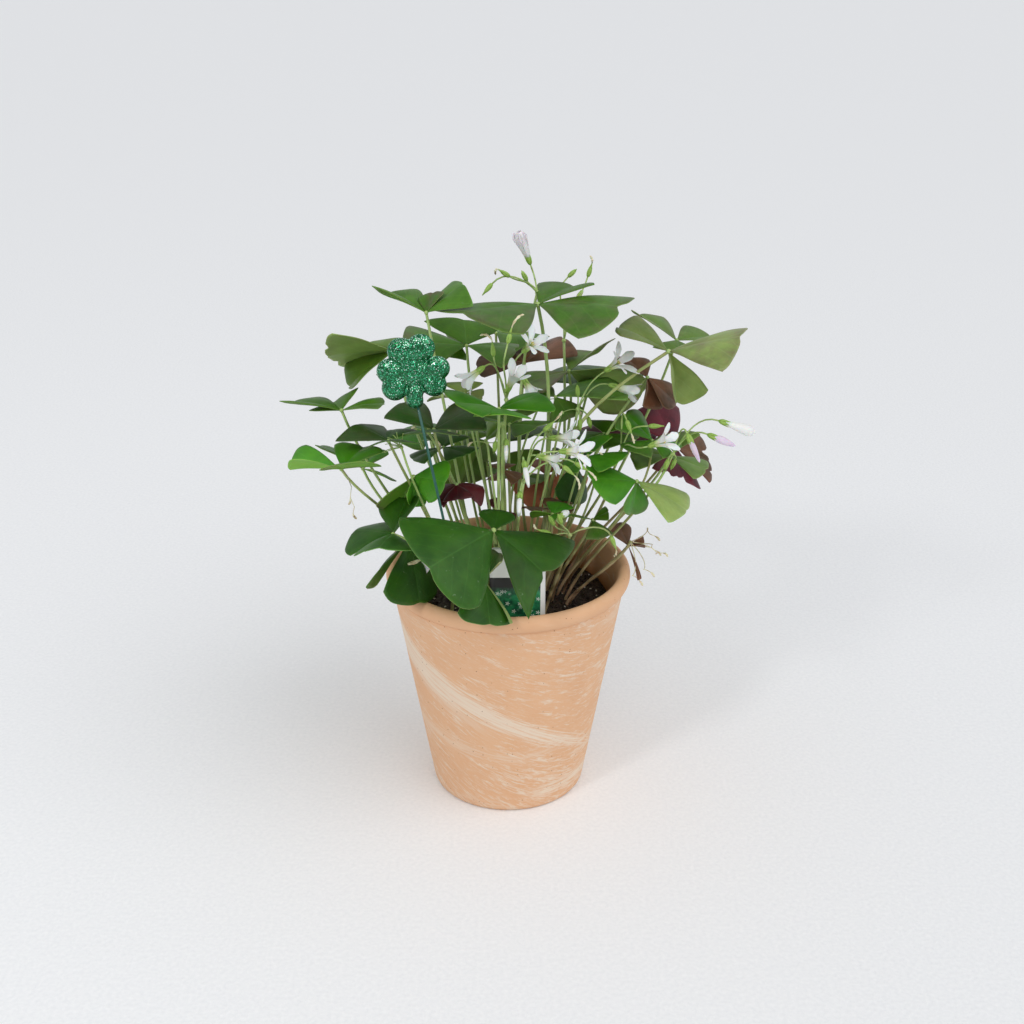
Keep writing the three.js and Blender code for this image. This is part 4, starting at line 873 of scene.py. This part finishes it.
def sepals(bm, base, along, line, finish=0):
    """Five narrow pointed sepals that clasp a flower's base, along a line of (ahead, out, half width)."""
    for out in five_ways(along, 0.5):
        wide = along.cross(out)

        def place(u, t, face):
            station = round(t * (len(line) - 1))
            ahead, spread, half = line[station]
            spot = base + along * ahead + out * (spread + 0.25 * face - 0.2 * u * u) + wide * half * u
            return spot * MM, (0.5 + 0.5 * u, t)

        slab(bm, 2, len(line) - 1, place, upper=finish, under=finish)


def petals(bm, base, along, length, opening, bends, finish=0):
    """Five petals that overlap in a funnel; each bends out a little more or less than the others."""
    for k, (out, bend) in enumerate(zip(five_ways(along, 0), bends)):
        wide = along.cross(out)

        def place(u, t, face):
            t = 1 - (1 - t) ** 1.3
            tip = t * (1 - 0.24 * (1 - math.sqrt(1 - 0.97 * u * u)) * t ** 5)
            j = next((j for j in range(1, len(PETAL_HALVES) - 1) if t <= PETAL_HALVES[j][0]), 6)
            (low, thin), (high, thick) = PETAL_HALVES[j - 1], PETAL_HALVES[j]
            half = (thin + (thick - thin) * (t - low) / (high - low)) * (0.7 + 0.02 * length)
            spread = 1.35 + length * (0.14 * tip + (0.7 * opening + bend) * tip ** 3)
            spread += 0.14 * half * u * u * t - PETAL * face + 0.15 * (k % 2)
            ahead = length * tip * (1 - 0.35 * opening * tip)
            spot = base + along * ahead + out * spread + wide * half * u
            return spot * MM, (0.5 + 0.5 * u, t)

        slab(bm, 8, 11, place, upper=finish, under=finish)


def withered(bm, base, along, towards, length, finish=3):
    """A withered tube of petals that turns from one direction to another as it shrivels."""
    bend = interpolate_bezier(base, base + along * 0.5 * length, base + (along + towards) * 0.5 * length,
                              base + (0.4 * along + towards) * 0.75 * length, len(CRUMPLED))
    stalk(bm, bend, CRUMPLED, finish=finish, sides=6)


def pedicel(bm, knuckle, kind, at, heading, rise, *more):
    """One pedicel that arches from the knuckle to a flower, with its calyx, bud or pod. A long bud adds
    its length and radius, and a withered one the heading, rise and length of its shrivelled petals."""
    base, along = Vector(at), direction(heading, rise)
    reach = (base - knuckle).length
    arch = knuckle.lerp(base, 0.3) + Vector((0, 0, 0.25 * reach))
    line = interpolate_bezier(knuckle, arch, base - along * 0.35 * reach, base, 9)
    stalk(bm, line, [PEDICEL_RADIUS] * len(line), finish=1, sides=6)
    length, swelling = HEADS[kind]
    stations = [base] + [base + along * length * share for share, _ in swelling]
    stalk(bm, stations, [0.55] + [radius for _, radius in swelling], finish=0, sides=10)
    sepals(bm, base, along, SEPALS.get(kind, OPEN_SEPALS))
    if kind in ('long', 'slim'):
        long, wide = more
        start, furl = base + along * 0.8 * length, PLUMP if wide > 2.5 else SLIM
        stalk(bm, [start + along * ahead * long for ahead, _ in furl], [share * wide for _, share in furl],
              finish=2, sides=12, tone=0.1 if kind == 'slim' or wide > 3 else 1)
    elif kind == 'opening':
        petals(bm, base + along * 5, along, 17, 0, (-0.14, -0.14, -0.13, 0.02, -0.15), finish=2)
    elif kind == 'withered':
        withered(bm, base + along * (length - NESTED), along, direction(*more[:2]), more[2])


# Each flower: kind, where its calyx starts, heading and rise; open ones add the corolla's name, its
# length and how wide it opens, from 0 (a tube) to 1 (flat).
SPRAYS = {
    'centre': dict(umbel=(-1, -16, 261), flowers=[
        ('open', (-13, -22, 283), -159, -33, 'left', 14, 0.4),
        ('open', (-1, -24, 268), -39, 61, 'cup', 16, 0.35),
        ('open', (8, -22, 291), -38, 42, 'star', 13, 0.8),
        ('open', (8, -3, 271), -20, -57, 'right', 10, 0.45),
        ('withered', (-8, -20, 288), 180, 85, 180, 10, 9), ('withered', (0, -50, 305), 20, 75, 10, 35, 10)]),
    'mid_right': dict(umbel=(41, 4, 248), foot=(16, -2), flowers=[
        ('open', (56, 2, 272), -28, 38, 'upper_right', 16, 0.7),
        ('open', (59, 8, 262), -12, -13, 'tube_right', 15, 0.15),
        ('bud', (41, 4, 256), 180, 85), ('bud', (42, -2, 244), -85, -75), ('bud', (47, 2, 244), 0, -75)]),
    'front': dict(umbel=(9, -34, 218), flowers=[
        ('open', (16, -34, 234), -15, -10, 'front_low', 14, 0.7),
        ('open', (23, -20, 239), -15, 7, 'front_high', 15, 0.5),
        ('open', (28, -56, 245), -25, 10, 'front_right', 16, 0.7),
        ('withered', (20, -32, 248), 10, 41, 0, 60, 7), ('slim', (9, -42, 234), -50, -74, 13, 1.6),
        ('slim', (7, -44, 216), -110, -78, 12, 1.6),
        ('withered', (31, -40, 230), -30, -30, -80, -70, 9),
        ('withered', (38, -38, 231), -10, -30, 10, -60, 8)]),
    'right': dict(umbel=(96, -14, 227), flowers=[
        ('long', (121, -18, 249), -7, -17, 18, 3.4), ('long', (114, -24, 243), -17, -18, 13, 2.3),
        ('long', (102, -28, 245), -29, -62, 14, 1.8), ('bud', (93, -18, 225), -147, -70),
        ('bud', (98, -12, 223), 180, -70)]),
    'inner_right': dict(umbel=(67, 4, 221), foot=(24, 6), flowers=[
        ('open', (80, -28, 237), -28, 27, 'right_low', 15, 0.5),
        ('pod', (81, -16, 245), 0, 0), ('withered', (68, -20, 250), 0, -70, -60, -60, 6)]),
    'hanging': dict(umbel=(-3, -26, 250), flowers=[
        ('slim', (-1, -31, 243), -91, -78, 11, 1.3), ('bud', (-7, -27, 240), -121, -75)]),
    'top': dict(umbel=(17, 24, 313), foot=(17, 12), flowers=[
        ('opening', (13, 26, 329), -146, 68), ('bud', (11, 20, 321), -154, 61),
        ('withered', (1, 14, 325), -156, 35, -160, -80, 5), ('pod', (-9, 10, 322), -145, -40)]),
    'back': dict(umbel=(34, 50, 276), foot=(30, 31), flowers=[
        ('bud', (36, 52, 315), -16, 45), ('withered', (48, 56, 314), 0, 74, 170, 60, 5),
        ('bud', (42, 64, 298), 29, 51)]),
    # A low young spray between the stalks, which has no solid of its own.
    'low': dict(umbel=(36, -34, 184), foot=(22, -24), flowers=[
        ('slim', (29, -34, 195), 30, 20, 5, 2.2), ('bud', (27, -36, 191), 175, 60),
        ('bud', (31, -38, 193), -160, 70), ('withered', (25, -37, 186), 180, 20, 140, 70, 4),
        ('withered', (60, -33, 183), -30, -65, 170, -60, 5)]),
}
for name, plan in SPRAYS.items():
    bm = thin_stock()
    umbel = plan['umbel']
    line = stem_line(umbel, plan.get('foot'), 14)
    stalk(bm, line, thinned(line, STALK_RADIUS), finish=1)
    bead(bm, Vector(umbel), 1.4, finish=1)
    for flower in plan['flowers']:
        pedicel(bm, Vector(umbel), *flower)
    nodes = [f'spray_{name}'] if f'spray_{name}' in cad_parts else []
    piece(f'umbel_{name}', bm, [sepal_green, green_stalk, furled, withered_skin], 'stalk', *nodes)

# Spent sprays: bare stalks whose flowers fell, with a tuft of dry pedicels: knuckle, foot, and each
# pedicel's heading, rise and length.
SPENT = {
    'left': ((-59, -50, 245), (-26, -20), [
        (150, 30, 11), (170, 55, 11), (190, 10, 11), (130, 60, 10), (165, -5, 11), (200, 40, 11), (140, 5, 11),
        (100, 75, 10), (180, 75, 11)]),
    'rim_right': ((74, -5, 166), (38, -10), [
        (-5, 5, 21), (-20, -35, 24), (5, 25, 22), (-30, -60, 26), (-10, -10, 26), (20, -20, 18)]),
    'tuft_2': ((-22, -10, 244), (-8, -7), [(-120, 10, 9), (20, -10, 8)]),
    'tuft_3': ((-12, -20, 236), (-4, -12), [(-170, 30, 9), (-30, 10, 10), (-90, -40, 9)]),
    'tuft_5': ((22, -6, 238), (9, -4), [(-60, 20, 9), (60, 10, 9), (170, -20, 8)]),
    'tuft_6': ((32, 4, 246), (13, 3), [(0, 30, 9), (-100, -10, 9)]),
    'tuft_7': ((-46, -14, 240), (-19, -6), [(170, 20, 9), (-60, 0, 9)]),
    'tuft_8': ((44, -8, 226), (21, -5), [(-30, 10, 10), (60, 30, 8), (-140, -30, 8)]),
    'tuft_10': ((54, 6, 214), (26, 1), [(-20, 20, 10), (-90, -20, 9)]),
    'tuft_11': ((-30, 22, 240), (-12, 10), [(150, 20, 9), (-90, 0, 9)]),
    'tuft_12': ((20, 30, 244), (8, 14), [(40, 10, 9), (-60, 20, 9)]),
}
HAIR_STEPS = 12
for name, (umbel, foot, tuft) in SPENT.items():
    bm = thin_stock()
    chance = random.Random(name)
    line = stem_line(umbel, foot, 12)
    stalk(bm, line, thinned(line, 0.95, 0.35), finish=1)
    bead(bm, Vector(umbel), 1.1, finish=1)
    for heading, rise, long in tuft:
        start, along = Vector(umbel), direction(heading, rise)
        side = Matrix.Rotation(chance.uniform(0, 2 * math.pi), 3, along) @ along.orthogonal().normalized()
        hair = []
        for step in range(HAIR_STEPS + 1):
            share = step / HAIR_STEPS
            turned_by = 2 * math.pi * share ** 2 * (0.9 if long > 12 else 0.25)
            loop = side * (1 - math.cos(turned_by)) + along * math.sin(turned_by) + along.cross(side) * share
            sag = Vector((0, 0, -0.2 * long * share ** 2))
            hair.append(start + along * long * 0.85 * share + loop * 0.13 * long + sag)
        curl = (hair[-1] - hair[-2]).normalized()
        thins = [0.34 - 0.01 * step for step in range(HAIR_STEPS + 1)]
        stalk(bm, hair, thins, finish=1 if long < 12 else 2, sides=5)
        if chance.random() < 0.6 and name != 'left':
            withered(bm, hair[-1], curl, direction(heading, -60), 4, finish=2)
    piece(f'spent_{name}', bm, [sepal_green, green_stalk, withered_skin], 'stalk')

# A fallen flower lies on a leaf in front, wilted, one of its white petals curled.
bm = thin_stock()
fallen = [Vector(spot) for spot in ((-57.2, -53.6, 174.9), (-55.9, -52.5, 174.6), (-54.3, -50.3, 174.1),
                                    (-52.8, -47.8, 173.6), (-50.9, -45.8, 173.4))]
stalk(bm, fallen, [0.6, 0.9, 1.2, 1.1, 0.5], finish=0, sides=8)
curled = [Vector(spot) for spot in ((-51.1, -46.2, 173.7), (-49.2, -46.3, 173.3), (-47.6, -46.6, 171.8),
                                    (-46.6, -47.3, 169.6), (-46.4, -48.3, 167.8), (-47.0, -48.9, 166.7))]


def place(u, t, face):
    station = round(t * 5)
    half = (0.4, 1.1, 1.3, 1.3, 1.0, 0.3)[station]
    spot = curled[station] + Vector((half * u, 0.3 * face + 0.6 * u * u, 0.5 * half * u))
    return spot * MM, (0.5 + 0.5 * u, t)


slab(bm, 4, 5, place, upper=1, under=1)
piece('spent_fallen', bm, [withered_skin, furled], 'stalk')

# A dry thread of an old flower hangs from the hub of a leaf on the left.
bm = thin_stock()
thread = [Vector(spot) for spot in ((-93, -50, 232), (-90, -50, 228), (-88, -49, 221), (-89, -48, 214),
                                    (-87, -48, 208), (-88, -48, 204))]
stalk(bm, thread, [0.3, 0.25, 0.22, 0.22, 0.22, 0.2], finish=0, sides=5)
withered(bm, thread[3], direction(0, -80), direction(-160, -60), 4.5, finish=0)
withered(bm, thread[5], direction(0, -80), direction(20, -50), 4, finish=0)
piece('spent_thread', bm, [withered_skin], 'stalk')


# ---- open corollas ----
# Five silk-thin white petals that overlap in a funnel with a green throat and stand free above it,
# round a tuft of pale yellow stamens.

# Petal: matt white silk, greenish in the throat, with fine veins along it.
white_petal, add, shader = surface('white_silk_petal', {
    'Roughness': 0.6, 'Subsurface Weight': 0.2, 'Subsurface Scale': 1.0 * MM})
blade = add('UVMap', uv_map='blade')
across, along, _ = add('SeparateXYZ', {0: blade}).outputs
throat = add('MapRange', {'Value': along, 'From Min': 0.45, 'From Max': 0.1})
order = add('Math', {0: across, 1: 0.0625}, operation='PINGPONG')
vein = add('MapRange', {'Value': order, 'From Max': 0.03, 'To Min': 0.35, 'To Max': 0})
lined = add('Mix', {0: vein, 6: '#FAFAFA', 7: '#D9DCDF'}, data_type='RGBA')
green = add('Mix', {0: throat, 6: lined, 7: '#CBD68C'}, data_type='RGBA')
pleats = add('Bump', {'Height': vein, 'Strength': 0.3, 'Distance': 0.1 * MM})
plug(shader, {'Base Color': green, 'Normal': pleats})

# Pollen: powdery pale yellow.
pollen = mottled('yellow_pollen', {'Roughness': 0.8}, 0.5, 2, ('#D8C24A', '#F0E49A'))

for plan in SPRAYS.values():
    for kind, at, heading, rise, *corolla in plan['flowers']:
        if kind != 'open':
            continue
        name, length, opening = corolla
        bm = thin_stock()
        along = direction(heading, rise)
        base = Vector(at) + along * (HEADS['open'][0] - NESTED)
        chance = random.Random(name)
        petals(bm, base, along, length, opening, [chance.uniform(-0.06, 0.1) for _ in range(5)])
        for out in five_ways(along, 0.5):
            top = base + along * (0.42 * length) + out * 0.8
            stalk(bm, [base, base.lerp(top, 0.5), top], [0.18, 0.16, 0.14], finish=2, sides=5)
            bead(bm, top, 0.45, finish=1, detail=1)
        piece(f'flower_{name}', bm, [white_petal, pollen, sepal_green], 'petal', f'corolla_{name}')


# ---- plant label ----
# A white plastic card with a pointed foot, pushed into the soil. Its upper part is bare; below a
# dark band it is printed with leaves and small white flowers.
LABEL_WIDTH, LABEL_THICKNESS = 32, 0.8
LABEL_TOP, LABEL_BOTTOM = 186, 98
LABEL_X, LABEL_Y = 5.5, -55
LABEL_POINT, BLUNT, CORNER = 24, 2, 2.5  # length and half width of its point, and its corners' radius


def label_place(u, t, face):
    """The card's outline: rounded upper corners, a shoulder above the soil and a blunt point."""
    z = LABEL_BOTTOM + (LABEL_TOP - LABEL_BOTTOM) * t
    low = (z - LABEL_BOTTOM) / LABEL_POINT
    half = LABEL_WIDTH / 2 if low > 1 else BLUNT + (LABEL_WIDTH / 2 - BLUNT) * low
    round_off = max(0, z - (LABEL_TOP - CORNER)) / CORNER
    half -= CORNER * (1 - math.sqrt(1 - min(1, round_off) ** 2))
    spot = Vector((LABEL_X + half * u, LABEL_Y + (0.5 - face) * LABEL_THICKNESS, z))
    return spot * MM, (0.5 + 0.5 * u, t)


bm = thin_stock()
slab(bm, 8, 60, label_place, upper=0, under=0)

# Printed polystyrene: white and smooth, with a glossy print of greens, white blooms and gold eyes.
card, add, shader = surface('printed_polystyrene', {'Roughness': 0.32})
where = add('TexCoord').outputs['Object']
spot = add('VectorMath', {0: where, 'Scale': 1 / MM}, operation='SCALE')
x, y, height = add('SeparateXYZ', {0: spot}).outputs
foliage = add('TexNoise', {'Vector': spot, 'Scale': 0.35, 'Detail': 4})
leafy = add('MapRange', {'Value': foliage, 'From Min': 0.35, 'From Max': 0.65})
level = add('VectorMath', {0: spot, 1: (1, 0, 1)}, operation='MULTIPLY')
blooms = add('TexVoronoi', {'Vector': level, 'Scale': 0.27})
within = add('VectorMath', {0: level, 1: blooms.outputs['Position']}, operation='SUBTRACT')
aside, _, above = add('SeparateXYZ', {0: within}).outputs
radius = add('VectorMath', {0: within}, operation='LENGTH')
bearing = add('Math', {0: above, 1: aside}, operation='ARCTAN2')
fivefold = add('Math', {0: bearing, 1: 5}, operation='MULTIPLY')
lobed = add('Math', {0: fivefold}, operation='COSINE')
span = add('Math', {0: lobed, 1: 0.5, 2: 1.05}, operation='MULTIPLY_ADD')
ray = add('Math', {0: span, 1: radius}, operation='SUBTRACT')
bloom = add('MapRange', {'Value': ray, 'From Max': 0.25})
eye = add('MapRange', {'Value': radius, 'From Min': 0.25, 'From Max': 0.5, 'To Min': 1, 'To Max': 0})
under_band = add('MapRange', {'Value': height, 'From Min': 157, 'From Max': 161})
# Each colour lies over the ones before: dark leaves, light leaves, blooms, their eyes, the dark band.
ink = '#0C4A34'
for share, over in (leafy, '#2F9660'), (bloom, '#DDEAE0'), (eye, '#D9C85A'), (under_band, '#14140F'):
    ink = add('Mix', {0: share, 6: ink, 7: over}, data_type='RGBA')
top_edge = add('Math', {0: height, 1: 167}, operation='LESS_THAN')
side_edge = add('Math', {0: x, 1: LABEL_X + 13.2}, operation='LESS_THAN')
facing = add('Math', {0: y, 1: LABEL_Y - 0.1}, operation='LESS_THAN')
inside_edges = add('Math', {0: top_edge, 1: side_edge}, operation='MULTIPLY')
printed = add('Math', {0: inside_edges, 1: facing}, operation='MULTIPLY')
whole = add('Mix', {0: printed, 6: '#F3F3EE', 7: ink}, data_type='RGBA')
plug(shader, {'Base Color': whole})
piece('label_card', bm, [card], 'card', 'plant_label')


# ---- glittered shamrock ----
# A puffy foam shamrock of three hearts and a stub, as thick as a finger, dipped in clear lacquer
# full of green and silver glitter. A thin lacquered wire holds it up from the soil.
FOAM_HALF = 4.6
PICK = Vector((-50.5, -60, 291))
# Across, up and radius of each puff, seen from its middle.
LOBES = [(-6.1, 12.6, 7.6), (4.3, 14.6, 7.7), (-12.5, 1.5, 7.2), (-10.2, -7.9, 7.1), (13, 3.4, 6.7),
         (10.9, -5.7, 6.9), (0.4, -14.8, 4.8), (0.5, -9.5, 5.0), (-0.3, 1.6, 8.6)]
middle = Vector(LOBES[-1][:2])

bm = bmesh.new()
bmesh.ops.create_uvsphere(bm, u_segments=160, v_segments=56, radius=1,
                          matrix=Matrix.Rotation(math.radians(90), 4, 'X'))
for vert in bm.verts:
    ray = Vector((vert.co.x, vert.co.z))
    share = min(1, ray.length)
    heading = ray.normalized() if share > 1e-4 else Vector((1, 0))
    reach = 0
    for x, z, radius in LOBES:
        to = Vector((x, z)) - middle
        ahead = to.dot(heading)
        gap = radius ** 2 - (to.length_squared - ahead ** 2)
        if gap > 0:
            reach = max(reach, ahead + math.sqrt(gap))
    spot = middle + heading * share * reach
    swell = 0
    for x, z, radius in LOBES:
        inside_lobe = 1 - (spot - Vector((x, z))).length_squared / radius ** 2
        swell += max(0, inside_lobe) ** 2
    depth = 0.93 * FOAM_HALF * swell ** (1 / 3)
    vert.co = Vector((PICK.x + spot.x, PICK.y + math.copysign(depth, vert.co.y), PICK.z + spot.y)) * MM
bmesh.ops.smooth_vert(bm, verts=bm.verts, factor=0.5, use_axis_x=True, use_axis_y=True, use_axis_z=True)

# Glitter in lacquer: flakes of about half a millimetre that each lie at their own tilt, under a clear
# coat.
glitter, add, shader = surface('green_glitter', {
    'Metallic': 0.85, 'Roughness': 0.28, 'Coat Weight': 0.5, 'Coat Roughness': 0.1})
where = add('TexCoord').outputs['Object']
flakes = add('TexVoronoi', {'Vector': where, 'Scale': 1 / (0.45 * MM)})
shade, flash, metal = add('SeparateXYZ', {0: flakes.outputs['Color']}).outputs
bright = add('MapRange', {'Value': flash, 'From Min': 0.76, 'From Max': 0.96})
# More silver flakes are painted on the up-facing shoulders of the puffs: a painted highlight where light from
# above falls on them.
facing = add('NewGeometry').outputs['Normal']
slope = add('SeparateXYZ', {0: facing}).outputs['Z']
painted_highlight = add('MapRange', {'Value': slope, 'From Min': 0.1, 'From Max': 0.8, 'To Max': 0.17})
more = add('Math', {0: metal, 1: painted_highlight}, operation='ADD')
silver_and_highlight = add('MapRange', {'Value': more, 'From Min': 0.955, 'From Max': 0.98})
# Flakes from dark to light green, then silver; on the shoulders the silver is painted highlight.
sparkle = '#013218'
for share, over in (shade, '#057C42'), (bright, '#4FD09A'), (silver_and_highlight, '#D4F8E6'):
    sparkle = add('Mix', {0: share, 6: sparkle, 7: over}, data_type='RGBA')
tilt = add('VectorMath', {0: flakes.outputs['Color'], 1: (0.5, 0.5, 0.5)}, operation='SUBTRACT')
tilted = add('VectorMath', {0: tilt, 'Scale': 0.28}, operation='SCALE')
leaning = add('VectorMath', {0: facing, 1: tilted}, operation='ADD')
unit = add('VectorMath', {0: leaning}, operation='NORMALIZE')
plug(shader, {'Base Color': sparkle, 'Normal': unit})
piece('glitter_shamrock', bm, [glitter], 'glitter', 'pick_shamrock')

# Lacquered steel wire: dark blue-green, smooth, with thin places in the lacquer.
lacquer = mottled('green_lacquered_wire', {'Roughness': 0.35, 'Coat Weight': 0.3}, 2.5, 3,
                  ('#0C4038', '#1B6A58'))
bm = thin_stock()
foot = Vector((-24, -41, 117))
knee = Vector((-24, -41, soil_height(-24, -41) + 1))
top = Vector((-49.4, -60, 277))
line = [foot, knee] + [knee.lerp(top, share) for share in (0.05, 0.35, 0.7, 1)]
stalk(bm, line, [0.8] * len(line), finish=0, sides=10)
piece('pick_stem', bm, [lacquer], 'wire', 'pick_wire')
